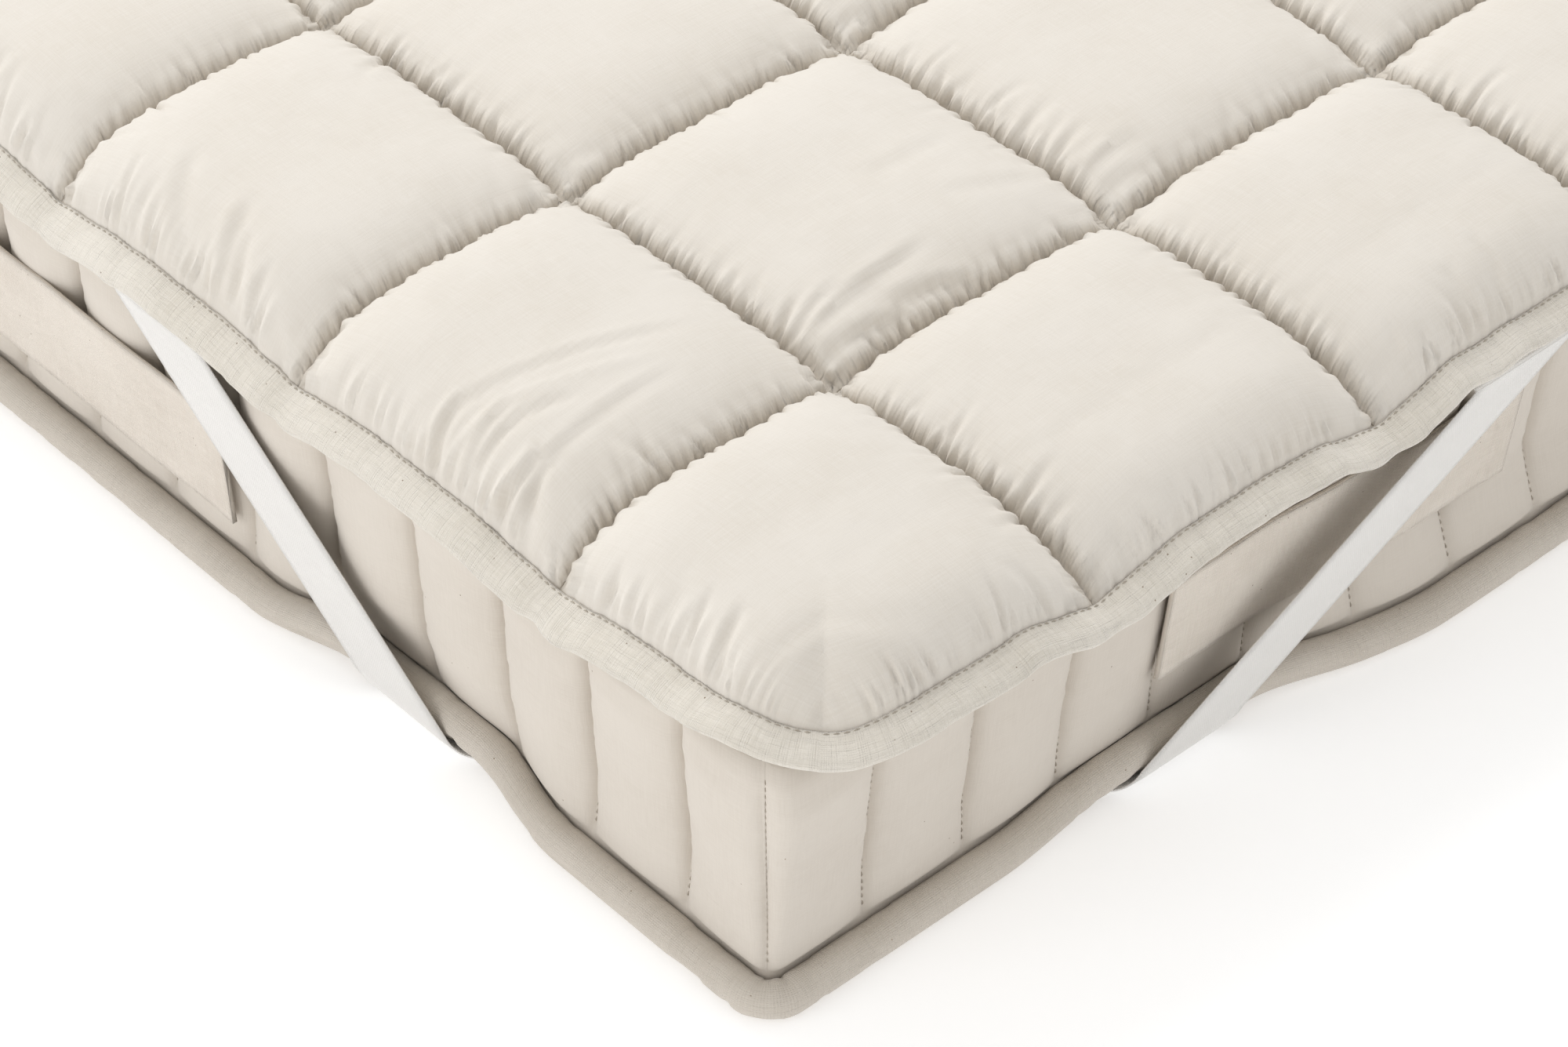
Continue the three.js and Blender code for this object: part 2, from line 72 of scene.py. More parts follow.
camera_data = bpy.data.cameras.new("photo_camera")
camera_data.sensor_fit = "HORIZONTAL"
camera_data.sensor_width = SENSOR_WIDTH
camera_data.lens = CAMERA_LENS
camera_data.clip_end = FAR_CLIP
camera = bpy.data.objects.new("photo_camera", camera_data)
place_and_aim(camera, CAMERA_PLACE, CAMERA_AIM)
scene.camera = camera
print("camera", round(math.dist(CAMERA_AIM, CAMERA_PLACE), 3), "m from the corner")

# %% [markdown]
# A catalogue photograph of white bedding is taken on a white floor under very soft light. A bright even
# sky and a floor that glows a little do most of it here. One wide lamp, high up at the far side, leaves
# the flanks that face the camera in half shade, so that the quilting reads. Two weak ones reach under
# the tape and make the left border brighter than the right. The colours are shown without a film curve,
# so that a white floor comes out white.

# %% Floor and light
WHITE = (1.0, 1.0, 1.0, 1.0)
FLOOR_COLOUR, FLOOR_ROUGHNESS = (0.93, 0.93, 0.93, 1.0), 0.9
FLOOR_HALF, FLOOR_GLOW = 60.0, 0.3
SKY_STRENGTH = 0.70
LAMP_AIM = (-0.4, -0.6, 0.1)
# Name, place, width in metres and power in watts
LAMPS = [
    ("ceiling_lamp", (0.4, 1.5, 2.7), 2.5, 74.0),
    ("left_fill", (-4.2, -0.2, 1.6), 2.4, 34.0),
    ("right_fill", (1.4, -4.6, 1.2), 2.4, 13.0),
]

floor_paint = bpy.data.materials.new("white_floor")
floor_paint.use_nodes = True
floor_shader = floor_paint.node_tree.nodes["Principled BSDF"]
floor_shader.inputs["Base Color"].default_value = FLOOR_COLOUR
floor_shader.inputs["Roughness"].default_value = FLOOR_ROUGHNESS
floor_shader.inputs["Emission Color"].default_value = WHITE
floor_shader.inputs["Emission Strength"].default_value = FLOOR_GLOW
floor_corners = [(x * FLOOR_HALF, y * FLOOR_HALF, 0.0) for x, y in ((-1, -1), (1, -1), (1, 1), (-1, 1))]
floor_mesh = bpy.data.meshes.new("floor")
floor_mesh.from_pydata(floor_corners, [], [(0, 1, 2, 3)])
floor_mesh.materials.append(floor_paint)
floor = bpy.data.objects.new("floor", floor_mesh)
scene.collection.objects.link(floor)

world = bpy.data.worlds.new("soft_sky")
world.use_nodes = True
sky = world.node_tree.nodes["Background"]
sky.inputs["Color"].default_value = WHITE
sky.inputs["Strength"].default_value = SKY_STRENGTH
scene.world = world
scene.view_settings.view_transform = "Standard"
scene.view_settings.look = "None"

for name, place, size, watts in LAMPS:
    lamp_data = bpy.data.lights.new(name, "AREA")
    lamp_data.shape = "SQUARE"
    lamp_data.size = size
    lamp_data.energy = watts
    place_and_aim(bpy.data.objects.new(name, lamp_data), place, LAMP_AIM)
    print(name, size, "m wide,", watts, "W")
print("floor", 2 * FLOOR_HALF, "m wide")

# %% [markdown]
# Blender describes a finish as a network of nodes. These helpers add a node, link it up and hand back its
# output, so that the finish further down reads almost like a sum.

# %% Nodes for a finish
MM = 0.001


def add_node(tree, kind, inputs=None, **settings):
    """Adds a shader node. A socket gets a link if its value is another node's output."""
    node = tree.nodes.new(kind)
    for key, value in settings.items():
        setattr(node, key, value)
    for socket, value in (inputs or {}).items():
        if isinstance(value, bpy.types.NodeSocket):
            tree.links.new(value, node.inputs[socket])
        else:
            node.inputs[socket].default_value = value
    return node


def reckon(tree, operation, first, second):
    """Result of a calculation with two values."""
    return add_node(tree, "ShaderNodeMath", {0: first, 1: second}, operation=operation).outputs[0]


def ramp(tree, value, start, end, low, high, **settings):
    """Value carried from one range to another."""
    limits = {"Value": value, 1: start, 2: end, 3: low, 4: high}
    return add_node(tree, "ShaderNodeMapRange", limits, **settings).outputs["Result"]


def blend(tree, share, colour, other):
    """Colour with a share of another one."""
    inputs = {0: share, 6: colour, 7: other}
    return add_node(tree, "ShaderNodeMix", inputs, data_type="RGBA").outputs[2]


def drawn_noise(tree, cloth, stretch, detail):
    """Noise drawn out along one direction of the cloth."""
    laid = add_node(tree, "ShaderNodeMapping", {"Vector": cloth, "Scale": stretch}).outputs["Vector"]
    noise = {"Vector": laid, "Scale": 1.0, "Detail": detail}
    return add_node(tree, "ShaderNodeTexNoise", noise).outputs["Fac"]


def bump(tree, height, distance, strength, below=None):
    """Direction of a surface with a relief, on top of another relief if there is one."""
    inputs = {"Height": height, "Distance": distance, "Strength": strength}
    if below is not None:
        inputs["Normal"] = below
    return add_node(tree, "ShaderNodeBump", inputs).outputs["Normal"]


print("lengths in millimetres are multiplied by", MM)

# %% [markdown]
# Cloth looks like cloth because of its threads. The finish below is used for every fabric, with other
# numbers: two sets of bands across each other give the weave, long thin noise gives the uneven yarns,
# broad noise gives a little change of colour, and dots of seed husk give the flecks of raw cotton. The
# pad's own cloth also has its finest wrinkles here, and painted shade close beside the sewn lines, where
# the folds lie close. All of it is laid out with the piece's own cloth coordinates, which are true
# lengths along and across the cloth, so that the threads follow each fold and keep their size.

# %% Fabric finish
WAVE_PERIOD = 0.314
BAND_UNEVENNESS = 1.2
# Direction of the bands and how the yarns across them are stretched
YARNS = [("X", (1300.0, 60.0, 1.0)), ("Y", (60.0, 1300.0, 1.0))]
YARN_RELIEF = 0.3 * MM
CLOUDS = {"Scale": 14.0, "Detail": 5.0, "Roughness": 0.6}
CLOUD_RANGE = (0.35, 0.75)
HUSK_SPACING, HUSK_RANGE = 260.0, (0.06, 0.12)
HUSK_COLOUR = (0.22, 0.15, 0.09, 1.0)
# Axis, first line and spacing of the pad's sewn lines in metres, and how their wrinkles are stretched
SEWN_GRID = [(0, -0.7, 0.175, (70.0, 300.0, 1.0)), (1, -1.0, 2.0 / 11, (300.0, 70.0, 1.0))]
WRINKLE_REACH, WRINKLE_RELIEF, WRINKLE_STRENGTH = 0.011, 4.0 * MM, 0.9
# Colour of the painted shade beside the pad's sewn lines, where it begins and its largest share
PAINTED_SHADE_COLOUR, PAINTED_SHADE_START, PAINTED_SHADE_SHARE = (0.53, 0.47, 0.39, 1.0), 0.3, 0.55


def sewn_wrinkles(tree, cloth):
    """Height of the finest wrinkles beside the pad's sewn lines, and how near the nearest line is."""
    place = add_node(tree, "ShaderNodeSeparateXYZ", {"Vector": cloth}).outputs
    heights, fades = [], []
    for axis, start, pitch, stretch in SEWN_GRID:
        away = reckon(tree, "PINGPONG", reckon(tree, "SUBTRACT", place[axis], start), pitch / 2)
        fade = ramp(tree, away, 0.0, WRINKLE_REACH, 1.0, 0.0, interpolation_type="SMOOTHSTEP")
        heights.append(reckon(tree, "MULTIPLY", drawn_noise(tree, cloth, stretch, 1.0), fade))
        fades.append(fade)
    return reckon(tree, "ADD", *heights), reckon(tree, "MAXIMUM", *fades)


def fabric(name, light, dark, thread, weave=0.3, mottle=0.4, fuzz=0.3, fleck=0.0, sheen=0.2,
           gathered=False):
    """Makes a woven finish; thread is the spacing of the threads in millimetres."""
    material = bpy.data.materials.new(name)
    material.use_nodes = True
    tree = material.node_tree
    shader = tree.nodes["Principled BSDF"]
    shader.inputs["Roughness"].default_value = 0.9
    shader.inputs["Sheen Weight"].default_value = sheen
    shader.inputs["Sheen Roughness"].default_value = 0.6
    shader.inputs["Specular IOR Level"].default_value = 0.2
    cloth = add_node(tree, "ShaderNodeUVMap", uv_map="cloth").outputs["UV"]
    bands, yarns = [], []
    for direction, stretch in YARNS:
        wave = {"Vector": cloth, "Scale": WAVE_PERIOD / (thread * MM), "Detail": 1.0}
        wave["Distortion"] = BAND_UNEVENNESS
        bands.append(add_node(tree, "ShaderNodeTexWave", wave, bands_direction=direction).outputs["Fac"])
        yarns.append(drawn_noise(tree, cloth, stretch, 2.0))
    slubs = reckon(tree, "ADD", *yarns)
    clouds = add_node(tree, "ShaderNodeTexNoise", {"Vector": cloth, **CLOUDS}).outputs["Fac"]
    uneven = ramp(tree, reckon(tree, "MULTIPLY", clouds, slubs), *CLOUD_RANGE, 0.0, mottle)
    colour = blend(tree, uneven, (*light, 1.0), (*dark, 1.0))
    relief = None
    if fleck:
        dots = add_node(tree, "ShaderNodeTexVoronoi", {"Vector": cloth, "Scale": HUSK_SPACING}).outputs
        near = ramp(tree, dots["Distance"], *HUSK_RANGE, 1.0, 0.0)
        chance = add_node(tree, "ShaderNodeSeparateColor", {"Color": dots["Color"]}).outputs["Red"]
        husk = reckon(tree, "MULTIPLY", near, reckon(tree, "LESS_THAN", chance, fleck))
        colour = blend(tree, husk, colour, HUSK_COLOUR)
    if gathered:
        wrinkles, beside_line = sewn_wrinkles(tree, cloth)
        # Painted shade: the colour is darkened close beside the sewn lines, where the gathered folds shade
        # the cloth
        painted_shade = ramp(tree, beside_line, PAINTED_SHADE_START, 1.0, 0.0, PAINTED_SHADE_SHARE)
        colour = blend(tree, painted_shade, colour, PAINTED_SHADE_COLOUR)
        relief = bump(tree, wrinkles, WRINKLE_RELIEF, WRINKLE_STRENGTH)
    relief = bump(tree, reckon(tree, "MULTIPLY", *bands), 0.25 * thread * MM, weave, relief)
    relief = bump(tree, slubs, YARN_RELIEF, fuzz, relief)
    tree.links.new(colour, shader.inputs["Base Color"])
    tree.links.new(relief, shader.inputs["Normal"])
    return material


ivory_percale = fabric("ivory_percale", (0.725, 0.68, 0.615), (0.645, 0.59, 0.51), 0.45,
                       weave=0.2, mottle=0.5, gathered=True)
fleecy_tape = fabric("fleecy_tape", (0.75, 0.70, 0.62), (0.64, 0.59, 0.505), 1.0,
                     weave=0.6, mottle=1.0, fuzz=1.6, fleck=0.12, sheen=0.5)
white_elastic = fabric("white_elastic", (0.83, 0.81, 0.78), (0.75, 0.73, 0.70), 1.3,
                       weave=0.8, mottle=0.3)
border_cotton = fabric("border_cotton", (0.655, 0.60, 0.53), (0.58, 0.52, 0.45), 0.6,
                       mottle=0.5, fleck=0.015)
roll_cotton = fabric("roll_cotton", (0.62, 0.565, 0.495), (0.52, 0.465, 0.395), 1.0,
                     weave=0.8, mottle=0.6, fuzz=0.7, fleck=0.03)
seed_canvas = fabric("seed_canvas", (0.75, 0.685, 0.605), (0.62, 0.55, 0.47), 1.1,
                     weave=0.9, mottle=0.7, fuzz=0.6, fleck=0.10)
sewing_thread = fabric("sewing_thread", (0.44, 0.39, 0.32), (0.36, 0.31, 0.25), 0.3)
print("finishes", [m.name for m in bpy.data.materials if m.name != "white_floor"])

# %% [markdown]
# A sewn piece is a mesh of many small faces, and it is quickest to work out all its points with arrays
# and hand them to Blender at once. The helpers here take points in millimetres and the cloth coordinates
# of each face corner, weld points that lie on each other, and turn every face outwards. A tape, roll or
# band is one section carried along a line, so a second helper joins sections.

# %% Helpers that make a piece
WELD_MM = 0.004


def mix(a, b, t):
    """Value between two others, at a share of the way."""
    return a + (b - a) * t


def ease(t):
    """Rises from 0 to 1 with flat ends."""
    t = np.clip(t, 0.0, 1.0)
    return t * t * (3.0 - 2.0 * t)


def make_piece(name, points, faces, cloth_at_corners, material):
    """Makes a smooth cloth piece that rides with the bed."""
    mesh = bpy.data.meshes.new(name)
    mesh.from_pydata((np.asarray(points) * MM).tolist(), [], faces)
    layer = mesh.uv_layers.new(name="cloth")
    layer.data.foreach_set("uv", (np.asarray(cloth_at_corners) * MM).astype(np.float32).ravel())
    work = bmesh.new()
    work.from_mesh(mesh)
    bmesh.ops.remove_doubles(work, verts=work.verts, dist=WELD_MM * MM)
    bmesh.ops.recalc_face_normals(work, faces=work.faces)
    for face in work.faces:
        face.smooth = True
    open_edges = sum(1 for edge in work.edges if len(edge.link_faces) != 2)
    work.to_mesh(mesh)
    work.free()
    mesh.materials.append(material)
    piece = bpy.data.objects.new(name, mesh)
    scene.collection.objects.link(piece)
    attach(piece, "root")
    triangles = sum(len(p.vertices) - 2 for p in mesh.polygons)
    print(name, triangles, "triangles,", open_edges, "open edges")
    return piece


def walked(points):
    """Distance walked along a line of points."""
    return np.concatenate([[0.0], np.cumsum(np.linalg.norm(np.diff(points, axis=0), axis=1))])


def at_distance(line, walk, at):
    """Places on a line of points at some distances walked along it."""
    return np.stack([np.interp(at, walk, line[:, k]) for k in range(line.shape[1])], -1)


def sweep_piece(name, sections, material, closed):
    """Joins sections, each a closed line of points, into one piece."""
    stations, corners = sections.shape[:2]
    middles = sections.mean(axis=1)
    along = walked(np.vstack([middles, middles[:1]]))
    around = walked(np.vstack([sections[0], sections[0][:1]]))
    joined = np.arange(stations if closed else stations - 1)
    row, corner = np.meshgrid(joined, np.arange(corners), indexing="ij")
    next_row = (row + 1) % stations
    next_corner = (corner + 1) % corners
    quads = [row * corners + corner, next_row * corners + corner]
    quads += [next_row * corners + next_corner, row * corners + next_corner]
    faces = np.stack(quads, -1).reshape(-1, 4).tolist()
    u = np.stack([around[corner], around[corner], around[corner + 1], around[corner + 1]], -1)
    v = np.stack([along[row], along[row + 1], along[row + 1], along[row]], -1)
    cloth = [np.stack([u, v], -1).reshape(-1, 2)]
    if not closed:
        for end in (0, stations - 1):
            faces.append([end * corners + k for k in range(corners)])
            cloth.append(np.stack([around[:corners], np.full(corners, along[end])], -1))
    return make_piece(name, sections.reshape(-1, 3), faces, np.concatenate(cloth), material)


print("pieces are welded within", WELD_MM, "mm")

# %% [markdown]
# Real cloth is never quite even. Smooth random heights, drawn from seeded numbers on a grid and rounded
# off in between, give each piece its small waves, and the same ones every time the lesson runs.

# %% Smooth random heights
NOISE_SIZE = 256


def soft_noise(a, b, seed):
    """Smooth random heights from -1 to 1 over a plane with one value at each whole number."""
    values = np.random.default_rng(seed).uniform(-1.0, 1.0, (NOISE_SIZE, NOISE_SIZE))
    low_a, low_b = np.floor(a).astype(int), np.floor(b).astype(int)
    part_a, part_b = ease(a - low_a), ease(b - low_b)
    a0, a1 = low_a % NOISE_SIZE, (low_a + 1) % NOISE_SIZE
    b0, b1 = low_b % NOISE_SIZE, (low_b + 1) % NOISE_SIZE
    near = mix(values[a0, b0], values[a1, b0], part_a)
    far = mix(values[a0, b1], values[a1, b1], part_a)
    return mix(near, far, part_b)


print("the noise repeats after", NOISE_SIZE, "steps")


# %% [markdown]
# The pad lies flat on the mattress and bends down over its edge. Its sewn lines make eight squares across
# and eleven along. The edge dips where a line ends and rises in between, more on the short sides than on
# the long ones, and it hangs less low at the corners and on the short sides. This cell gives the height
# and place of the cloth along the sewn lines, before any filling lifts it. The sizes are those of the CAD
# model, so that the cloth and the solid agree, except for the height of the edge, which here follows the
# photograph more closely.

# %% Lie of the pad
WIDTH, LENGTH = 1400.0, 2000.0
MATTRESS_TOP = 160.3
SQUARES_ACROSS, SQUARES_ALONG = 8, 11
SEWN_HEIGHT, SEWN_REACH = 12.0, 80.0
PAD_CORNER, SEAM_INSET = 75.0, 16.0
EDGE_DROP, EDGE_REACH = 30.0, 50.0
TAPE_SLOPE = 0.45
CORNER_DROP, CORNER_SPREAD = 0.4, 150.0
EDGE_LIFT, WEDGE_HALF = 4.6, 1.5
SHORT_DIP, SHORT_LIFT = -3.0, 7.0
LONG_DIP, LONG_LIFT = -1.0, 4.0
BULGE_INSET, BULGE_STEP, BULGE_REACH = 1.0, 0.3, 60.0
TINY = 1e-9

lines_x = -WIDTH / 2 + np.arange(SQUARES_ACROSS + 1) * WIDTH / SQUARES_ACROSS
lines_y = -LENGTH / 2 + np.arange(SQUARES_ALONG + 1) * LENGTH / SQUARES_ALONG
lines_x[[0, -1]] += [SEAM_INSET, -SEAM_INSET]
lines_y[[0, -1]] += [SEAM_INSET, -SEAM_INSET]


def from_seams(x, y):
    """Distances of a place of the flat pad from the long and the short seams."""
    return WIDTH / 2 - SEAM_INSET - np.abs(x), LENGTH / 2 - SEAM_INSET - np.abs(y)


def edge_drop(inset):
    """Height lost where the pad bends over the mattress edge, less steep under the tape."""
    rest = np.clip(1.0 - np.maximum(inset, SEAM_INSET) / EDGE_REACH, 0.0, 1.0)
    return EDGE_DROP * rest**2 + TAPE_SLOPE * np.maximum(SEAM_INSET - inset, 0.0)


def drop_share(x, y):
    """Share of that drop at a place of the flat pad: less at the corners and short sides."""
    from_x, from_y = from_seams(x, y)
    on_long_side = ease(0.5 + (from_y - from_x) / CORNER_SPREAD)
    return mix(CORNER_DROP, 1.0, on_long_side * ease(np.maximum(from_x, from_y) / CORNER_SPREAD))


def edge_fullness(along, lines):
    """How full the edge stands between two sewn lines: 0 at a line and 1 well between two."""
    square = np.clip(np.searchsorted(lines, along, side="right") - 1, 0, len(lines) - 2)
    place = (along - lines[square]) / (lines[square + 1] - lines[square])
    return ease(np.minimum(place, 1.0 - place) / BULGE_STEP)


def edge_wave(x, y):
    """Rise of the pad's edge between its sewn lines, dip at their ends, and share of fullness."""
    from_x, from_y = from_seams(x, y)
    on_long_side = from_x < from_y
    full = np.where(on_long_side, edge_fullness(y, lines_y), edge_fullness(x, lines_x))
    dip = np.where(on_long_side, LONG_DIP, SHORT_DIP)
    dip = dip * ease(np.maximum(from_x, from_y) / CORNER_SPREAD)
    return mix(dip, np.where(on_long_side, LONG_LIFT, SHORT_LIFT), full), full


def lying_pad(x, y):
    """Place of the sewn-down cloth for a point of the flat pad: x, y and height."""
    from_x, from_y = from_seams(x, y)
    radius = PAD_CORNER - SEAM_INSET
    back_x, back_y = np.maximum(radius - from_x, 0.0), np.maximum(radius - from_y, 0.0)
    reach = np.maximum(np.maximum(back_x, back_y), TINY)
    turn = math.pi / 4 * np.minimum(back_x, back_y) / reach
    wide, narrow = reach * np.cos(turn), reach * np.sin(turn)
    rounded = (back_x > 0.0) & (back_y > 0.0)
    inset_x = np.where(rounded, radius - np.where(back_x >= back_y, wide, narrow), from_x)
    inset_y = np.where(rounded, radius - np.where(back_x >= back_y, narrow, wide), from_y)
    inset = np.minimum(from_x, from_y)
    near_edge = np.clip(1.0 - inset / BULGE_REACH, 0.0, 1.0)
    wave, full = edge_wave(x, y)
    drawn_in = near_edge * BULGE_INSET * full
    inset_x = inset_x + np.where(from_x < from_y, drawn_in, 0.0)
    inset_y = inset_y + np.where(from_x < from_y, 0.0, drawn_in)
    sewn = mix(EDGE_LIFT + WEDGE_HALF, SEWN_HEIGHT, ease(inset / SEWN_REACH))
    height = MATTRESS_TOP - drop_share(x, y) * edge_drop(inset + SEAM_INSET) + sewn + near_edge * wave
    place_x = np.sign(x) * (WIDTH / 2 - SEAM_INSET - inset_x)
    place_y = np.sign(y) * (LENGTH / 2 - SEAM_INSET - inset_y)
    return np.stack([place_x, place_y, height], -1)


print("sewn lines at", lines_x.round(1).tolist(), "and", lines_y.round(1).tolist())

# %% [markdown]
# Sewing through a full pad leaves more cloth between the lines than there is room for, and the spare cloth
# buckles into small folds that run away from each line. A cloth simulation finds such folds by itself: a
# few flat squares are pinned along their edges, given a tenth more cloth than fits, and blown up a
# little. Only the folds are kept from it, because the round shape of the filling is known from the
# photograph. The squares are simulated ten times too large, which the solver handles better.

# %% Simulate the spare cloth of a square
SIM_SQUARES, SIM_QUADS = 5, 63
SIM_SCALE, SIM_FRAMES = 0.01, 25
SPARE_CLOTH = 0.10
START_BULGE, START_LUMP, LUMPS_ACROSS, LUMP_SEED = 0.08, 0.03, 30.0, 40
CLOTH_SETTINGS = {
    "quality": 5, "mass": 0.3, "tension_stiffness": 15.0, "compression_stiffness": 15.0,
    "shear_stiffness": 7.5, "bending_stiffness": 0.4, "air_damping": 2.0, "vertex_group_mass": "sewn",
    "shrink_min": -SPARE_CLOTH, "use_pressure": True, "uniform_pressure_force": 5.0,
}
FINE_SPREAD, FOLD_SPREAD = 0.8, 6.0


def blurred(height, spread):
    """Blurs a square of heights and keeps its edges at zero."""
    reach = int(3 * spread) + 1
    weights = np.exp(-0.5 * (np.arange(-reach, reach + 1) / spread) ** 2)
    weights /= weights.sum()
    for axis in (0, 1):
        border = [(0, 0), (0, 0)]
        border[axis] = (reach, reach)
        wide = np.pad(height, border, mode="reflect", reflect_type="odd")
        height = np.apply_along_axis(np.convolve, axis, wide, weights, "valid")
    return height


def spare_squares():
    """Makes an object with some flat squares of cloth, pinned along their edges."""
    count = SIM_QUADS + 1
    side = np.linspace(0.0, 1.0, count)
    u, v = np.meshgrid(side, side, indexing="ij")
    edge = (u == 0) | (u == 1) | (v == 0) | (v == 1)
    size_u, size_v = WIDTH / SQUARES_ACROSS * SIM_SCALE, LENGTH / SQUARES_ALONG * SIM_SCALE
    corner = np.arange(count * count).reshape(count, count)
    quads = [corner[:-1, :-1], corner[1:, :-1], corner[1:, 1:], corner[:-1, 1:]]
    quads = np.stack(quads, -1).reshape(-1, 4)
    points, faces, pinned = [], [], []
    for k in range(SIM_SQUARES):
        lumps = START_LUMP * soft_noise(u * LUMPS_ACROSS, v * LUMPS_ACROSS, LUMP_SEED + k)
        lumps = lumps + START_BULGE * np.sin(u * math.pi) * np.sin(v * math.pi)
        lumps[edge] = 0.0
        points.append(np.stack([u * size_u + k * 2.0 * size_u, v * size_v, lumps], -1).reshape(-1, 3))
        faces.append(quads + k * count * count)
        pinned.append(np.flatnonzero(edge.ravel()) + k * count * count)
    mesh = bpy.data.meshes.new("spare_cloth")
    mesh.from_pydata(np.concatenate(points).tolist(), [], np.concatenate(faces).tolist())
    trial = bpy.data.objects.new("spare_cloth", mesh)
    scene.collection.objects.link(trial)
    trial.vertex_groups.new(name="sewn").add(np.concatenate(pinned).tolist(), 1.0, "REPLACE")
    return trial


def simulated_squares():
    """Heights of the squares after the simulation, in millimetres."""
    trial = spare_squares()
    cloth = trial.modifiers.new("cloth", "CLOTH")
    for key, value in CLOTH_SETTINGS.items():
        setattr(cloth.settings, key, value)
    cloth.settings.effector_weights.gravity = 0.0
    cloth.collision_settings.use_collision = False
    for step in range(1, SIM_FRAMES + 1):
        scene.frame_set(step)
    shaped = trial.evaluated_get(bpy.context.evaluated_depsgraph_get())
    places = np.empty(len(trial.data.vertices) * 3)
    shaped.data.vertices.foreach_get("co", places)
    bpy.data.objects.remove(trial)
    scene.frame_set(1)
    return places.reshape(SIM_SQUARES, SIM_QUADS + 1, SIM_QUADS + 1, 3)[..., 2] / SIM_SCALE


blown = simulated_squares()
square_folds = np.stack([blurred(b, FINE_SPREAD) - blurred(b, FOLD_SPREAD) for b in blown])
print("simulated squares rise", blown.max().round(1), "mm")
print("folds up to", np.abs(square_folds).max().round(2), "mm")

# %% [markdown]
# The filling holds each square up in a full, flat-topped cushion with steep flanks. On the real pad the
# tops are nearly smooth and the flanks carry many short folds of uneven length, a few millimetres apart,
# where the needle has gathered the cloth. A few squares also have long soft creases from being packed.
# The short folds are drawn from seeded random numbers along each line, and the long ones come from a
# short table of places in their squares.

# %% Folds of the cover
FOLD_PITCH, FOLD_JITTER = 5.6, (0.1, 0.9)
FOLD_WIDTHS, FOLD_REACHES, FOLD_DEPTHS = (1.0, 1.9), (4.5, 9.5), (1.2, 3.0)
FOLD_LEAN, FOLD_WIDENING, FOLD_START = 0.3, 0.05, 1.2
LONG_FOLDS, LONG_REACH, LONG_DEPTH = 0.10, 2.2, 0.9
FOLD_RIM, FOLD_RIM_PLACE = 0.4, 1.9
CREASE_RIM, CREASE_RIM_PLACE, CREASE_SWAY = 0.55, 1.7, 3.0
CREASE_OVERRUN, CREASE_START, CREASE_END = 0.12, 0.24, 0.4
# Square, start and end in it, width and depth in millimetres; a negative depth is a ridge
LONG_CREASES = [
    (0, 1, 0.04, 0.50, 0.78, 0.30, 2.8, 1.4),
    (0, 1, 0.00, 0.42, 0.64, 0.28, 2.8, -1.2),
    (0, 1, 0.00, 0.33, 0.38, 0.29, 2.6, 1.8),
    (0, 1, 0.00, 0.16, 0.63, 0.20, 2.8, 1.6),
    (0, 1, 0.00, 0.24, 0.16, 0.22, 3.0, 3.0),
    (0, 1, 0.00, 0.12, 0.10, 0.20, 2.8, 2.6),
    (0, 1, 0.00, 0.46, 0.16, 0.50, 2.6, 1.8),
    (0, 1, 0.03, 0.38, 0.22, 0.36, 2.6, 1.0),
    (1, 1, 0.00, 0.10, 0.48, 0.18, 3.2, 2.2),
    (1, 1, 0.00, 0.05, 0.30, 0.04, 3.0, 2.1),
    (1, 1, 0.29, 0.05, 0.55, 0.03, 3.0, 2.0),
    (1, 1, 0.00, 0.15, 0.22, 0.18, 3.0, 1.5),
    (1, 1, 0.00, 0.20, 0.10, 0.22, 2.6, 1.2),
    (1, 1, 0.56, 0.46, 0.86, 0.41, 5.0, 0.7),
    (1, 1, 0.66, 0.28, 0.90, 0.16, 5.0, 0.7),
    (2, 1, 0.00, 0.33, 0.05, 0.36, 2.6, 1.8),
    (2, 1, 0.00, 0.13, 0.25, 0.12, 3.2, 1.6),
    (2, 1, 0.00, 0.07, 0.18, 0.04, 3.0, 1.4),
    (2, 0, 0.40, 0.16, 0.34, 0.02, 3.5, 1.5),
    (2, 0, 0.55, 0.20, 0.48, 0.02, 3.5, 1.3),
    (0, 2, 0.00, 0.31, 0.03, 0.51, 4.0, 2.4),
    (0, 2, 0.03, 0.51, 0.27, 0.67, 4.5, 1.4),
    (0, 2, 0.00, 0.28, 0.22, 0.43, 4.0, 2.1),
    (0, 2, 0.00, 0.22, 0.15, 0.36, 3.6, 2.0),
    (0, 2, 0.00, 0.16, 0.10, 0.24, 3.2, 2.0),
    (0, 2, 0.00, 0.06, 0.06, 0.13, 3.0, 1.4),
    (0, 0, 0.02, 0.38, 0.12, 0.46, 3.2, 2.4),
    (0, 0, 0.05, 0.20, 0.50, 0.05, 6.0, -0.8),
]


def gathered_folds(along, away, length, dice):
    """Short folds along one sewn line; away is the distance from it."""
    count = int(length / FOLD_PITCH)
    centres = (np.arange(count) + dice.uniform(*FOLD_JITTER, count)) * length / count
    widths = dice.uniform(*FOLD_WIDTHS, count)
    long_ones = dice.uniform(size=count) < LONG_FOLDS
    reaches = dice.uniform(*FOLD_REACHES, count) * np.where(long_ones, LONG_REACH, 1.0)
    depths = dice.uniform(*FOLD_DEPTHS, count) * np.where(long_ones, LONG_DEPTH, 1.0)
    leans = dice.normal(0.0, FOLD_LEAN, count)
    folds = np.zeros_like(along)
    started = 1.0 - np.exp(-away / FOLD_START)
    for centre, width, reach, depth, lean in zip(centres, widths, reaches, depths, leans):
        across = (along - centre - lean * away) / (width * (1.0 + FOLD_WIDENING * away))
        furrow = np.exp(-(across**2)) - FOLD_RIM * np.exp(-((np.abs(across) - FOLD_RIM_PLACE) ** 2))
        folds -= depth * furrow * started * np.exp(-((away / reach) ** 2))
    return folds


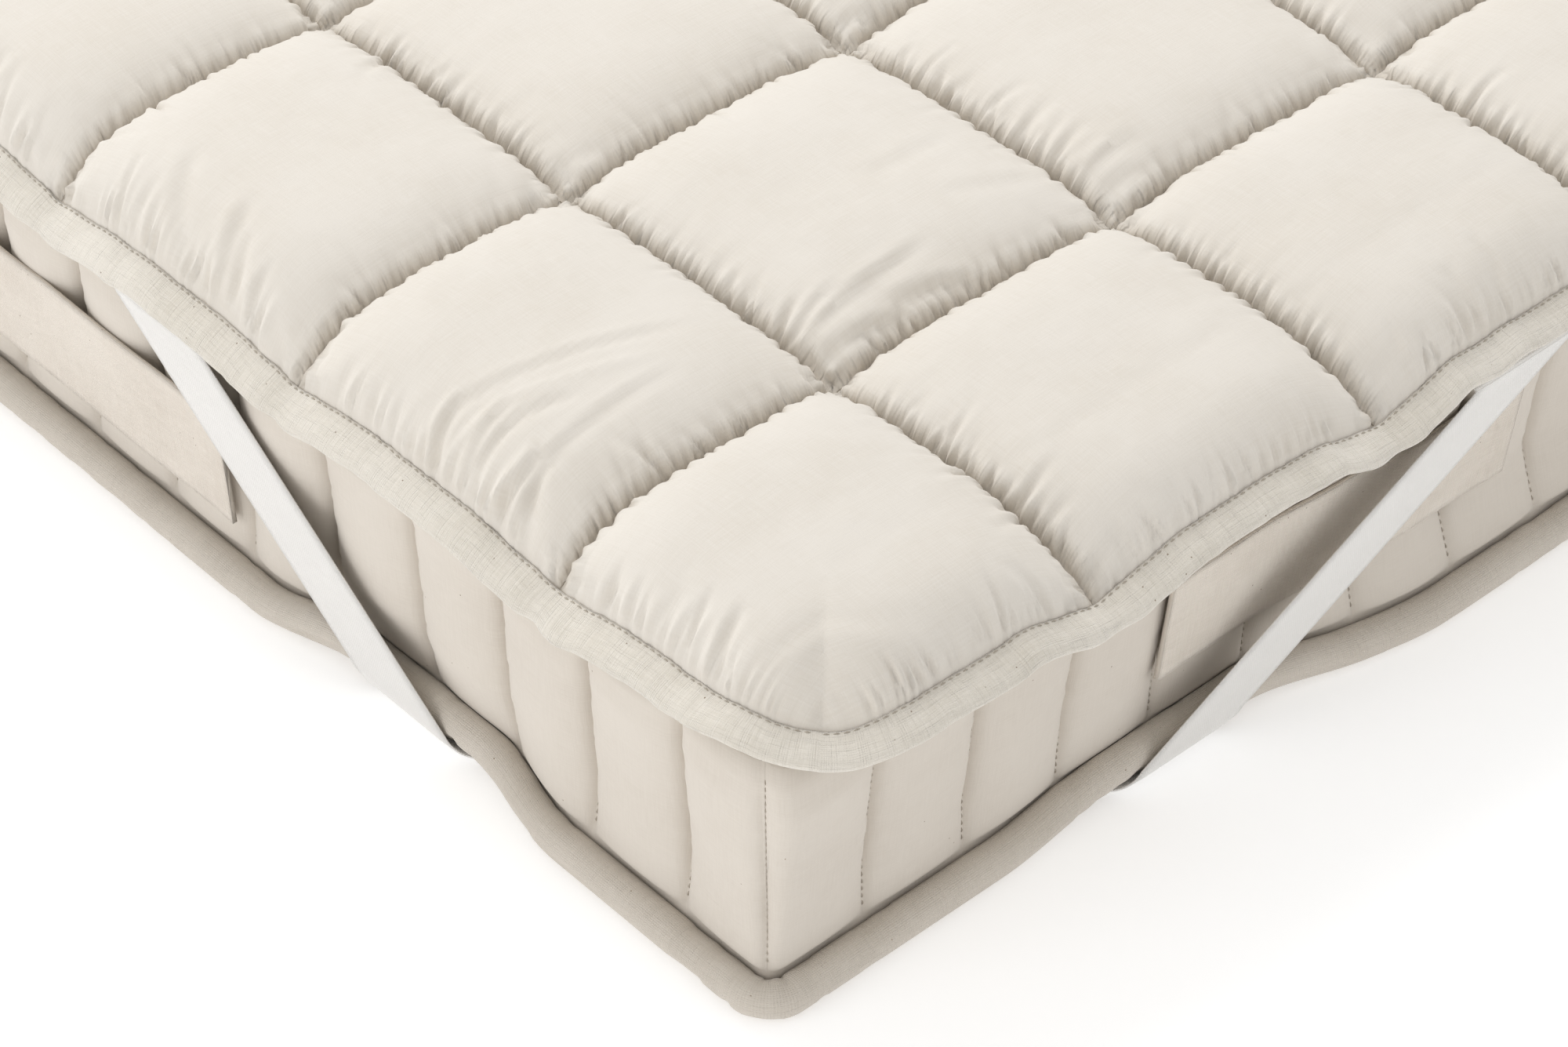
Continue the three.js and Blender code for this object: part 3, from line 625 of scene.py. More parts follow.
def long_creases(i, j, x, y):
    """Soft troughs and ridges that are listed for a square."""
    moved = np.zeros_like(x)
    size_x, size_y = lines_x[i + 1] - lines_x[i], lines_y[j + 1] - lines_y[j]
    for a, b, u0, v0, u1, v1, width, depth in LONG_CREASES:
        if (a, b) != (i, j):
            continue
        start = np.array([u0 * size_x, v0 * size_y])
        way = np.array([u1 * size_x, v1 * size_y]) - start
        length = np.linalg.norm(way)
        way /= length
        off_x, off_y = x - lines_x[i] - start[0], y - lines_y[j] - start[1]
        along = (off_x * way[0] + off_y * way[1]) / length
        sway = CREASE_SWAY * np.sin(3.0 * along + 2.0 * depth)
        across = off_x * -way[1] + off_y * way[0] + sway
        begun = ease((along + CREASE_OVERRUN) / CREASE_START)
        inside = begun * ease((1.0 + CREASE_OVERRUN - along) / CREASE_END)
        rim = np.exp(-(((across - CREASE_RIM_PLACE * width) / width) ** 2))
        moved -= depth * (np.exp(-((across / width) ** 2)) - CREASE_RIM * rim) * inside
    return moved


def picked_folds(i, j, u, v):
    """Folds of one of the simulated squares, turned so that neighbours differ."""
    folds = square_folds[(3 * i + 5 * j) % SIM_SQUARES]
    if (i + 2 * j) % 3 == 0:
        folds = folds.T
    if (2 * i + j) % 4 < 2:
        folds = folds[::-1]
    if (i + j) % 3 == 1:
        folds = folds[:, ::-1]
    at_u, at_v = u * SIM_QUADS, v * SIM_QUADS
    low_u = np.clip(np.floor(at_u).astype(int), 0, SIM_QUADS - 1)
    low_v = np.clip(np.floor(at_v).astype(int), 0, SIM_QUADS - 1)
    near = mix(folds[low_u, low_v], folds[low_u + 1, low_v], at_u - low_u)
    far = mix(folds[low_u, low_v + 1], folds[low_u + 1, low_v + 1], at_u - low_u)
    return mix(near, far, at_v - low_v)


print(len(LONG_CREASES), "long creases; short folds about every", FOLD_PITCH, "mm along the sewn lines")

# %% [markdown]
# One square is now a crown of filling on the lying pad, moved along its own surface direction by all the
# folds together. They fade out right at the sewn lines, where the cloth is held down, and at the pad's
# round corners, where it is stretched.

# %% Shape of one quilted square
CROWN = 27.0
SQUARE_SEED = 1000
FOLD_KEEP, TOP_FOLDS, FLANK_REACH = 0.6, 0.25, 12.0
HOLLOW_DEPTH, HOLLOW_LENGTH, HOLLOW_SHIFT, HOLLOW_SEED = 0.5, 38.0, 50, 9
SEWN_DOWN = 1.5
CORNER_FOLDS, CORNER_CALM = 0.2, 50.0


def crown(t):
    """Rise of the filled cloth between two sewn lines."""
    return np.sqrt(np.maximum(1.0 - np.abs(2.0 * t - 1.0) ** 4, 0.0))


def quilted_square(i, j, side):
    """Points of one filled square for a line of places from 0 to 1, and their flat cloth places."""
    u, v = np.meshgrid(side, side, indexing="ij")
    x, y = mix(lines_x[i], lines_x[i + 1], u), mix(lines_y[j], lines_y[j + 1], v)
    points = lying_pad(x, y)
    points[..., 2] += CROWN * crown(u) * crown(v)
    dice = np.random.default_rng(SQUARE_SEED + 20 * i + j)
    west, south = x - lines_x[i], y - lines_y[j]
    east, north = lines_x[i + 1] - x, lines_y[j + 1] - y
    size_x, size_y = lines_x[i + 1] - lines_x[i], lines_y[j + 1] - lines_y[j]
    nearest = np.minimum(np.minimum(west, east), np.minimum(south, north))
    kept = mix(TOP_FOLDS, 1.0, np.exp(-((nearest / FLANK_REACH) ** 2)))
    moved = FOLD_KEEP * picked_folds(i, j, u, v) * kept
    moved += gathered_folds(south, west, size_y, dice) + gathered_folds(south, east, size_y, dice)
    moved += gathered_folds(west, south, size_x, dice) + gathered_folds(west, north, size_x, dice)
    across, along = x / HOLLOW_LENGTH + HOLLOW_SHIFT, y / HOLLOW_LENGTH + HOLLOW_SHIFT
    moved += long_creases(i, j, x, y) + HOLLOW_DEPTH * soft_noise(across, along, HOLLOW_SEED)
    calm = mix(CORNER_FOLDS, 1.0, ease(np.hypot(*from_seams(x, y)) / CORNER_CALM))
    moved *= ease(nearest / SEWN_DOWN) * calm
    normals = np.cross(np.gradient(points, axis=0), np.gradient(points, axis=1))
    normals /= np.linalg.norm(normals, axis=-1, keepdims=True)
    return points + normals * moved[..., None], np.stack([x, y], -1)


print("a square rises", CROWN, "mm between its lines")

# %% [markdown]
# The squares nearest the photograph's corner need fine faces along their flanks, and the others don't. A
# single grid would be far too heavy, so each square has narrow rows of faces beside its lines and wide
# ones in its middle, and the far squares keep only some of the places. Where a coarse edge meets a fine
# one, its faces take in the fine edge's points, so that the cover stays one closed skin.

# %% Faces of the squares
FLANK_ROWS = np.array([0.0, 0.9, 2.0, 3.4, 5.2, 7.4, 10.0, 13.0, 16.5, 20.5, 25.0])
MIDDLE_STEPS = 84
CLOSE_BLOCK, FINE_BLOCK, FAR_BLOCK = 2, 3, 7
FAR_ROWS = [0, 3, 6, 10]

flank = FLANK_ROWS / (WIDTH / SQUARES_ACROSS)
middle = np.linspace(flank[-1], 1.0 - flank[-1], MIDDLE_STEPS + 1)
fine_side = np.concatenate([flank[:-1], middle, 1.0 - flank[-2::-1]])
flank_count = len(flank) - 1
fine_last = len(fine_side) - 1


def middle_picks(block):
    """Grid places in the middle of a square, with a block of steps between them."""
    return list(range(flank_count, flank_count + MIDDLE_STEPS + 1, block))


fine_picks, close_picks = middle_picks(FINE_BLOCK), middle_picks(CLOSE_BLOCK)
far_picks = FAR_ROWS[:-1] + middle_picks(FAR_BLOCK) + [fine_last - k for k in FAR_ROWS[-2::-1]]


def is_near(i, j):
    """True for the squares that the photograph shows."""
    return 0 <= i <= 3 and 0 <= j <= 3 and i + j <= 4


def block_faces(picks, edges_kept):
    """Faces between picked grid places; edges_kept says which outer edges take in every place."""
    faces = []
    last = len(picks) - 1
    for a in range(last):
        for b in range(last):
            u0, u1, v0, v1 = picks[a], picks[a + 1], picks[b], picks[b + 1]
            south = range(u0, u1) if b == 0 and edges_kept[0] else [u0]
            east = range(v0, v1) if a == last - 1 and edges_kept[1] else [v0]
            north = range(u1, u0, -1) if b == last - 1 and edges_kept[2] else [u1]
            west = range(v1, v0, -1) if a == 0 and edges_kept[3] else [v1]
            ring = [(k, v0) for k in south] + [(u1, k) for k in east]
            ring += [(k, v1) for k in north] + [(u0, k) for k in west]
            faces.append(ring)
    return faces


def square_faces(i, j):
    """Faces of a square as rings of grid places."""
    if not is_near(i, j):
        around = [(i, j - 1), (i + 1, j), (i, j + 1), (i - 1, j)]
        return block_faces(far_picks, [is_near(*square) for square in around])
    faces = block_faces(close_picks if i + j <= 2 else fine_picks, [True] * 4)
    low, high = flank_count, fine_last - flank_count
    for a in range(fine_last):
        for b in range(fine_last):
            if not (low <= a < high and low <= b < high):
                faces.append([(a, b), (a + 1, b), (a + 1, b + 1), (a, b + 1)])
    return faces


print("places along a square:", len(fine_side), "near the corner and", len(far_picks), "elsewhere")

# %% [markdown]
# All the squares side by side are the cover. The underside starts at the seam, folds under in a thin wedge
# that the tape will hold, and then lies on the mattress, so a few rings along the seam and one large face
# close it.

# %% Make the pad
WEDGE_TIP = 8.0


def seam_walk(near_places, far_places):
    """Flat places along the pad's seam, counter-clockwise from the photograph's corner."""
    def places(i, j):
        return (near_places if is_near(i, j) else far_places)[:-1]

    walk = []
    last_i, last_j = SQUARES_ACROSS - 1, SQUARES_ALONG - 1
    for i in range(SQUARES_ACROSS):
        walk += [(x, lines_y[0]) for x in mix(lines_x[i], lines_x[i + 1], places(i, 0))]
    for j in range(SQUARES_ALONG):
        walk += [(lines_x[-1], y) for y in mix(lines_y[j], lines_y[j + 1], places(last_i, j))]
    for i in reversed(range(SQUARES_ACROSS)):
        walk += [(x, lines_y[-1]) for x in mix(lines_x[i + 1], lines_x[i], places(i, last_j))]
    for j in reversed(range(SQUARES_ALONG)):
        walk += [(lines_x[0], y) for y in mix(lines_y[j + 1], lines_y[j], places(0, j))]
    return np.array(walk)


def seam_inward(seam, walk):
    """Direction from the pad's seam towards its inside."""
    centre = np.array([WIDTH / 2 - PAD_CORNER, LENGTH / 2 - PAD_CORNER])
    reach = np.column_stack(from_seams(walk[:, 0], walk[:, 1]))
    at_corner = (reach < PAD_CORNER - SEAM_INSET).all(axis=1)
    inward = np.where(reach < 1e-6, -np.sign(walk), 0.0)
    inward[at_corner] = (np.sign(walk) * centre - seam[:, :2])[at_corner]
    return inward / np.linalg.norm(inward, axis=1, keepdims=True)


def fold_height(inset, share):
    """Middle height of the folded edge at a distance from the outline."""
    return MATTRESS_TOP - share * edge_drop(inset) + EDGE_LIFT


pad_points, pad_cloth, pad_faces = [], [], []
point_count = 0
for i in range(SQUARES_ACROSS):
    for j in range(SQUARES_ALONG):
        points, cloth = quilted_square(i, j, fine_side)
        rings = square_faces(i, j)
        used = sorted({place for ring in rings for place in ring})
        number = {place: point_count + k for k, place in enumerate(used)}
        picked = tuple(np.array(used).T)
        pad_points.append(points[picked])
        pad_cloth.append(cloth[picked])
        pad_faces += [[number[place] for place in ring] for ring in rings]
        point_count += len(used)

pad_walk = seam_walk(fine_side, fine_side[far_picks])
pad_seam = lying_pad(pad_walk[:, 0], pad_walk[:, 1])
pad_inward = seam_inward(pad_seam, pad_walk)


def under_ring(inset, lift):
    """Ring of points below the pad at a distance from the outline and a height above the fold."""
    flat = pad_seam[:, :2] + pad_inward * (inset - SEAM_INSET)
    share = drop_share(pad_walk[:, 0], pad_walk[:, 1])
    wave = edge_wave(pad_walk[:, 0], pad_walk[:, 1])[0] if inset <= SEAM_INSET else 0.0
    return np.column_stack([flat, fold_height(inset, share) + wave + lift])


under_rings = [pad_seam, under_ring(WEDGE_TIP, 0.0), under_ring(SEAM_INSET, -WEDGE_HALF)]
under_rings.append(under_ring(EDGE_REACH, -EDGE_LIFT))
ring_size = len(pad_walk)
ring_starts = [point_count + k * ring_size for k in range(len(under_rings))]
for low, high in zip(ring_starts[:-1], ring_starts[1:]):
    for a in range(ring_size):
        b = (a + 1) % ring_size
        pad_faces.append([low + b, low + a, high + a, high + b])
pad_faces.append([ring_starts[-1] + a for a in range(ring_size)][::-1])
pad_points += under_rings
pad_cloth += [ring[:, :2] for ring in under_rings]
corner_cloth = np.concatenate(pad_cloth)[np.concatenate([np.array(face) for face in pad_faces])]
pad_cover = make_piece("quilted_pad", np.concatenate(pad_points), pad_faces, corner_cloth, ivory_percale)
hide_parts("pad")

# %% [markdown]
# The pad's edge is closed with a soft, slightly hairy tape, folded over it and sewn down with one row of
# stitches. A tape is one folded section carried around the seam. Where a sewn line of the pad ends, the
# edge is drawn in and the tape puckers, and between them it bulges a little, so the section changes along
# the way. Adding this to the mesh, and not to the material, keeps the wavy outline from every side.

# %% Make the folded tape
# Inset and height of the section's points: its upper face, its nose and the pocket that holds the pad
TAPE_TOP = np.array([
    (16.0, 4.4), (14.5, 4.5), (12.0, 4.4), (9.0, 4.3), (6.0, 4.0), (3.6, 3.3), (1.7, 2.3), (0.5, 1.1),
])
TAPE_NOSE = np.array([(0.0, 0.0)])
TAPE_INSIDE = np.array([(16.0, -2.3), (8.0, -1.4), (3.0, 0.0), (8.0, 1.4), (16.0, 2.3)])
TAPE_FINE, TAPE_COARSE = 68, 20
NIP_REACH, BULGE_PLACE = 7.0, 14.0
WAVE_LENGTH, WAVE_SEED = 17.0, 21
RIPPLE_LENGTH, RIPPLE_SHIFT, RIPPLE_SEED = 5.5, 9.0, 22
# How far each of them moves the tape's edge in, and by what share it makes the tape thicker
NIP_IN, BULGE_IN, WAVE_IN, RIPPLE_IN = 1.2, -0.4, 0.6, 0.25
NIP_SWELL, BULGE_SWELL, WAVE_SWELL, RIPPLE_SWELL = -0.22, 0.14, 0.16, 0.07
WAVE_LIFT, POCKET_SHARE = 0.8, 0.4

tape_section = np.concatenate([TAPE_TOP, TAPE_NOSE, TAPE_TOP[::-1] * [1.0, -1.0], TAPE_INSIDE])
tape_walk = seam_walk(np.linspace(0.0, 1.0, TAPE_FINE + 1), np.linspace(0.0, 1.0, TAPE_COARSE + 1))
tape_seam = lying_pad(tape_walk[:, 0], tape_walk[:, 1])
tape_inward = seam_inward(tape_seam, tape_walk)
tape_along = walked(np.vstack([tape_seam, tape_seam[:1]]))[:-1]
tape_share = drop_share(tape_walk[:, 0], tape_walk[:, 1])[:, None]
tape_wave = edge_wave(tape_walk[:, 0], tape_walk[:, 1])[0][:, None]


def to_line(at, lines):
    """Distance to the nearest sewn line inside the pad."""
    return np.abs(at[..., None] - lines[1:-1]).min(axis=-1)


on_short_side = np.abs(np.abs(tape_walk[:, 1]) - lines_y[-1]) < 1e-6
to_nip = np.where(on_short_side, to_line(tape_walk[:, 0], lines_x), to_line(tape_walk[:, 1], lines_y))


def tape_surface(section):
    """Places of section points, inset and height, at every station around the tape."""
    inset = section[None, :, 0] + np.zeros((len(tape_walk), 1))
    lift = section[None, :, 1] + np.zeros((len(tape_walk), 1))
    outer = np.clip(1.0 - section[:, 0] / SEAM_INSET, 0.0, 1.0)[None, :]
    skin = np.where(np.abs(section[:, 1]) > POCKET_SHARE * EDGE_LIFT, 1.0, POCKET_SHARE)[None, :]
    nip = np.exp(-((to_nip / NIP_REACH) ** 2))[:, None]
    bulge = np.exp(-(((to_nip - BULGE_PLACE) / NIP_REACH) ** 2))[:, None]
    wave = soft_noise(tape_along / WAVE_LENGTH, tape_along * 0.0, WAVE_SEED)[:, None]
    ripple = soft_noise(tape_along / RIPPLE_LENGTH, tape_along * 0.0 + RIPPLE_SHIFT, RIPPLE_SEED)[:, None]
    inset = inset + outer * (NIP_IN * nip + BULGE_IN * bulge + WAVE_IN * wave + RIPPLE_IN * ripple)
    swell = WAVE_SWELL * wave + RIPPLE_SWELL * ripple + BULGE_SWELL * bulge + NIP_SWELL * nip
    lift = lift * (1.0 + skin * swell)
    flat = tape_seam[:, None, :2] + tape_inward[:, None, :] * (inset - SEAM_INSET)[..., None]
    height = fold_height(inset, tape_share) + tape_wave + lift + WAVE_LIFT * wave * outer
    return np.concatenate([flat, height[..., None]], -1)


binding = sweep_piece("folded_binding", tape_surface(tape_section), fleecy_tape, True)
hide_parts("pad_binding")

# %% [markdown]
# The mattress under the pad has a padded cotton border, sewn down along upright lines, so that it stands
# out in soft ribs. At each corner the cover is joined in a seam with a thin ridge. The mattress is pulled
# in near the corners, where the bands pass under it. The outline is a rectangle with round corners; a
# place on it is a distance walked from the photograph's corner, which makes ribs, bands and handles easy
# to place.

# %% Outline of the mattress
MATTRESS_LENGTH = 1938.0
MATTRESS_CORNER = 24.0
HALF_ARC = MATTRESS_CORNER * math.pi / 4
END_INSET = (LENGTH - MATTRESS_LENGTH) / 2
# Length of each side, place of its first upright line and number of its ribs
SIDES = [(WIDTH, 72.0, 21), (MATTRESS_LENGTH, 72.0, 29)] * 2
SEAM_SHIFT = 2.0
WAIST_CENTRE, WAIST_FLAT, WAIST_END = 255.0, 40.0, 112.0
SHORT_WAIST, LONG_WAIST, WAIST_LIFT = 3.0, 11.5, 4.8
SHORT_BOW, BOW_START, BOW_RAMP = 19.0, 300.0, 120.0

corner_steps = [length - 2 * MATTRESS_CORNER + 2 * HALF_ARC for length, _, _ in SIDES]
corner_walks = np.concatenate([[0.0], np.cumsum(corner_steps)])
OUTLINE = corner_walks[-1]


def outline(distance):
    """Points of the outline and the directions into the mattress."""
    knots = np.concatenate([[w - HALF_ARC, w + HALF_ARC] for w in corner_walks])[1:-1]
    knots = np.concatenate([[0.0], knots, [OUTLINE]])
    turns = np.radians([225, 270, 270, 360, 360, 450, 450, 540, 540, 585])
    middle_x = (WIDTH / 2 - MATTRESS_CORNER) * np.array([-1, -1, 1, 1, 1, 1, -1, -1, -1, -1])
    middle_y = (MATTRESS_LENGTH / 2 - MATTRESS_CORNER) * np.array([-1, -1, -1, -1, 1, 1, 1, 1, -1, -1])
    walk = np.mod(distance, OUTLINE)
    turn = np.interp(walk, knots, turns)
    outward = np.stack([np.cos(turn), np.sin(turn)], -1)
    middles = np.stack([np.interp(walk, knots, middle_x), np.interp(walk, knots, middle_y)], -1)
    return middles + MATTRESS_CORNER * outward, -outward


def from_corner(distance):
    """Distance along a side from the corner that the straight sides would make."""
    walk = np.mod(distance, OUTLINE)
    return np.abs(walk[..., None] - corner_walks).min(axis=-1) - HALF_ARC + MATTRESS_CORNER


def short_share(distance):
    """How far a place faces the short way: 1 on the short sides and 0 on the long ones."""
    return outline(distance)[1][..., 1] ** 2


def waist(distance):
    """Share of the pull of the bands, from 0 to 1."""
    away = np.abs(from_corner(distance) - WAIST_CENTRE)
    return ease((WAIST_END - away) / (WAIST_END - WAIST_FLAT))


def waist_depth(distance):
    """How far the bands pull the bottom edge in."""
    return mix(LONG_WAIST, SHORT_WAIST, short_share(distance)) * waist(distance)


def bow(distance):
    """How far the bottom edge of the short sides stands out between the corners."""
    return SHORT_BOW * short_share(distance) * ease((from_corner(distance) - BOW_START) / BOW_RAMP)


upright_lines, corner_seams = [], []
for side, (length, first, ribs) in enumerate(SIDES):
    start = corner_walks[side] + HALF_ARC - MATTRESS_CORNER
    upright_lines += [start + first + k * (length - 2 * first) / ribs for k in range(ribs + 1)]
    corner_seams.append(corner_walks[side] + (-SEAM_SHIFT if side % 2 == 0 else SEAM_SHIFT))
upright_lines = np.array(upright_lines)
corner_seams = np.mod(np.array(corner_seams), OUTLINE)
print("outline", round(OUTLINE), "mm with", len(upright_lines), "upright lines")

# %% [markdown]
# Each rib is a small cushion: steep beside its lines and round in between, with fine gathers where it is
# sewn. The border's levels run from the bottom panel up to the top panel, and the places around it are
# close together beside the lines. The side that faces left in the photograph has fuller ribs than the
# right one, where the cover is stretched flatter.

# %% Face of the border
# Height, inset, and the shares of the ribs, the waist, the lean and the bow
LEVELS = np.array([
    (3.6, 17.0, 0.0, 1.0, 0.0, 1.0),
    (17.5, 17.0, 0.0, 1.0, 0.0, 1.0),
    (21.0, 14.0, 0.4, 1.0, 0.0, 1.0),
    (55.0, 12.3, 1.0, 0.3, 0.34, 0.35),
    (120.0, 9.0, 1.0, 0.3, 1.0, 0.35),
    (137.0, 11.0, 0.6, 0.0, 1.0, 0.35),
])
CHANNEL_DEPTH, RIB_FULLNESS, RIB_ROUNDNESS = 9.0, 2.4, 0.75
NEEDLE_GROOVE, NEEDLE_REACH = 3.0, 2.4
SHORT_LEAN, SHORT_FULLNESS = 6.0, 0.7
GATHER_DEPTH, GATHER_PITCH, GATHER_PLACE, GATHER_SEED = 0.55, 5.0, 4.0, 31
DENT_DEPTH, DENT_LENGTH, DENT_HEIGHT, DENT_SEED = 0.5, 45.0, 40.0, 32
RIDGE_HEIGHT, RIDGE_REACH = 4.0, 2.2

border_joins = np.sort(np.concatenate([np.mod(upright_lines, OUTLINE), corner_seams]))


def level(height, column):
    """A column of the table of levels at a height of the border."""
    return np.interp(height, LEVELS[:, 0], LEVELS[:, column])


def crest_inset(distance, height):
    """Distance of the ribs' crests inside the outline."""
    bent = level(height, 3) * waist_depth(distance) - level(height, 5) * bow(distance)
    return level(height, 1) + bent - SHORT_LEAN * level(height, 4) * short_share(distance)


def signed_walk(distance):
    """Distance from the photograph's corner, the short way around."""
    return np.mod(distance + OUTLINE / 2, OUTLINE) - OUTLINE / 2


def corner_ridge(walk):
    """Thin ridge that stands out along each corner seam."""
    off = np.abs(signed_walk(walk[..., None] - corner_seams)).min(axis=-1)
    return RIDGE_HEIGHT * np.exp(-((off / RIDGE_REACH) ** 2))


def border_inset(distance, height):
    """Distance of the border's face inside the outline, with its ribs and small gathers."""
    walk = np.mod(distance, OUTLINE)
    right = np.searchsorted(border_joins, walk, side="right")
    low = border_joins[right - 1] - np.where(right == 0, OUTLINE, 0.0)
    high = border_joins[right % len(border_joins)] + np.where(right == len(border_joins), OUTLINE, 0.0)
    place = (walk - low) / (high - low)
    sunk = 1.0 - np.maximum(1.0 - np.abs(2.0 * place - 1.0) ** RIB_FULLNESS, 0.0) ** RIB_ROUNDNESS
    beside = np.minimum(walk - low, high - walk)
    # Each half of each rib has its own row of the noise
    gather_row = right * 7.0 + np.where(place < 0.5, 0.0, 3.0)
    gathers = soft_noise(height / GATHER_PITCH, gather_row, GATHER_SEED)
    fullness = mix(1.0, SHORT_FULLNESS, short_share(distance))
    ribs = level(height, 2)
    drawn = CHANNEL_DEPTH * sunk + NEEDLE_GROOVE * np.exp(-((beside / NEEDLE_REACH) ** 2))
    inset = crest_inset(distance, height) + drawn * fullness * ribs
    near_line = np.exp(-((beside - GATHER_PLACE) / GATHER_PLACE) ** 2)
    inset = inset - GATHER_DEPTH * gathers * ribs * near_line
    inset = inset + DENT_DEPTH * soft_noise(walk / DENT_LENGTH, height / DENT_HEIGHT, DENT_SEED) * ribs
    return inset - corner_ridge(walk) * ribs


print("the border's crests lie", LEVELS[:, 1].min(), "to", LEVELS[:, 1].max(), "mm inside the outline")

# %% [markdown]
# The mesh of the mattress is a stack of rings, one for each level, from the bottom panel up the border to
# the top panel under the pad. The border's top edge follows the pad's edge up at the corners and along
# the short sides, so that no gap shows below the tape.

# %% Make the mattress
LOW_ROWS = [3.6, 12.0, 17.0, 18.6, 20.2, 22.0, 24.5]
BORDER_HEIGHTS = np.concatenate([LOW_ROWS, np.arange(28.0, 136.0, 4.0), [137.0]])
TOP_SHARES = [0.2, 0.55, 1.0]
MATTRESS_EDGE_TOP, TOP_PANEL_INSET = 160.0, 57.0
CORNER_RISE, SHORT_RISE = 12.0, 11.0
FRONT_REACH = 720.0
# Places across half a rib, for the ribs near the photograph's corner and for the others
NEAR_RIB = np.array([0.0, 0.012, 0.03, 0.055, 0.09, 0.13, 0.18, 0.24, 0.31, 0.40, 0.5])
FAR_RIB = np.array([0.0, 0.03, 0.09, 0.2, 0.5])
# Inset and height of the bottom panel's two rings
PANEL_RINGS = [(230.0, 0.0), (200.0, 3.6)]


def border_places():
    """Distances of the mesh's upright rows, close together beside every sewn line."""
    ends = np.concatenate([border_joins, [border_joins[0] + OUTLINE]])
    places = []
    for low, high in zip(ends[:-1], ends[1:]):
        half = NEAR_RIB if abs(signed_walk((low + high) / 2)) < FRONT_REACH else FAR_RIB
        places += [mix(low, high, t) for t in np.concatenate([half, 1.0 - half[-2:0:-1]])]
    return np.array(places)


def level_ring(flat, height):
    """A ring of points at one height."""
    return np.column_stack([flat, np.full(len(flat), float(height))])


rib_walk = border_places()
rib_points, rib_inward = outline(rib_walk)
rings = []
for inset, height in PANEL_RINGS:
    bound = np.array([WIDTH / 2 - inset, MATTRESS_LENGTH / 2 - inset])
    rings.append(level_ring(np.clip(rib_points, -bound, bound), height))
for height in BORDER_HEIGHTS:
    rings.append(level_ring(rib_points + rib_inward * border_inset(rib_walk, height)[:, None], height))
top_scale = 1.0 - TOP_PANEL_INSET / np.array([WIDTH / 2, MATTRESS_LENGTH / 2])
top_edge = level_ring(rib_points * top_scale, MATTRESS_EDGE_TOP)
shoulder = rings[-1]
short_wave = edge_wave(rib_points[:, 0], LENGTH / 2 - SEAM_INSET)[0]
side_rise = short_share(rib_walk) * (SHORT_RISE + short_wave)
shoulder[:, 2] += mix(CORNER_RISE, side_rise, ease(from_corner(rib_walk) / CORNER_SPREAD))
rings += [mix(shoulder, top_edge, share) for share in TOP_SHARES]
mattress_points = np.stack(rings)
rows, around = mattress_points.shape[:2]
mattress_faces, mattress_cloth = [], []
row_walk = walked(mattress_points[:, around // 8])
for r in range(rows - 1):
    for a in range(around):
        b = (a + 1) % around
        mattress_faces.append([r * around + a, r * around + b, (r + 1) * around + b, (r + 1) * around + a])
        here, there = rib_walk[a], rib_walk[b] + (OUTLINE if b == 0 else 0.0)
        mattress_cloth += [(here, row_walk[r]), (there, row_walk[r])]
        mattress_cloth += [(there, row_walk[r + 1]), (here, row_walk[r + 1])]
for r in (0, rows - 1):
    mattress_faces.append([r * around + a for a in range(around)])
    mattress_cloth += [tuple(p) for p in mattress_points[r, :, :2]]
flat_points = mattress_points.reshape(-1, 3)
mattress = make_piece("ribbed_mattress", flat_points, mattress_faces, mattress_cloth, border_cotton)
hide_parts("mattress")

# %% [markdown]
# A cloth-covered roll runs around the bottom edge. It is a soft tube with small crossways wrinkles, most
# of them at the corners and beside the bands, which pull it in and up. A tube swept along the outline
# with a slightly uneven section gives all of that, and it stops short of the border behind it.

# %% Make the bottom roll
ROLL_RADIUS = ROLL_MIDDLE = 8.9
ROLL_CLEARANCE, FLOOR_CLEARANCE = 0.4, 0.05
ROLL_SIDES, ROLL_FINE, ROLL_COARSE = 18, 2.6, 11.0
TUCK_PLACE, TUCK_REACH = 24.0, 16.0
BEND_PLACE, BEND_REACH = 25.0, 30.0
EVEN_WRINKLES, TUCK_WRINKLES, BEND_WRINKLES = 0.45, 0.9, 0.7
WRINKLE_PITCH, WRINKLE_SLANT, WRINKLE_TURN, WRINKLE_SEED = 6.5, 0.35, 0.5, 51
ROLL_LUMP, ROLL_LUMP_LENGTH, ROLL_LUMP_SEED, ROLL_PROUD = 0.5, 40.0, 52, 0.1


def ring_walk(fine, coarse):
    """Distances around the bed, close together near the photograph's corner."""
    front = np.arange(-FRONT_REACH, FRONT_REACH, fine)
    count = int((OUTLINE - 2 * FRONT_REACH) / coarse)
    return np.concatenate([front, np.linspace(FRONT_REACH, OUTLINE - FRONT_REACH, count, endpoint=False)])


roll_walk = ring_walk(ROLL_FINE, ROLL_COARSE)
roll_points, roll_inward = outline(roll_walk)
roll_turn = np.arange(ROLL_SIDES) / ROLL_SIDES * 2.0 * math.pi
walk, turn = np.meshgrid(roll_walk, roll_turn, indexing="ij")
tucked = np.exp(-((np.abs(from_corner(walk) - WAIST_CENTRE) - TUCK_PLACE) / TUCK_REACH) ** 2)
bent = np.exp(-((from_corner(walk) - BEND_PLACE) / BEND_REACH) ** 2)
wrinkle_size = EVEN_WRINKLES + TUCK_WRINKLES * tucked + BEND_WRINKLES * bent
wrinkle_at = walk / WRINKLE_PITCH + WRINKLE_SLANT * np.cos(turn)
wrinkles = soft_noise(wrinkle_at, WRINKLE_TURN * turn, WRINKLE_SEED) * wrinkle_size
lumpy = ROLL_LUMP * soft_noise(walk / ROLL_LUMP_LENGTH, turn * 0.0, ROLL_LUMP_SEED)
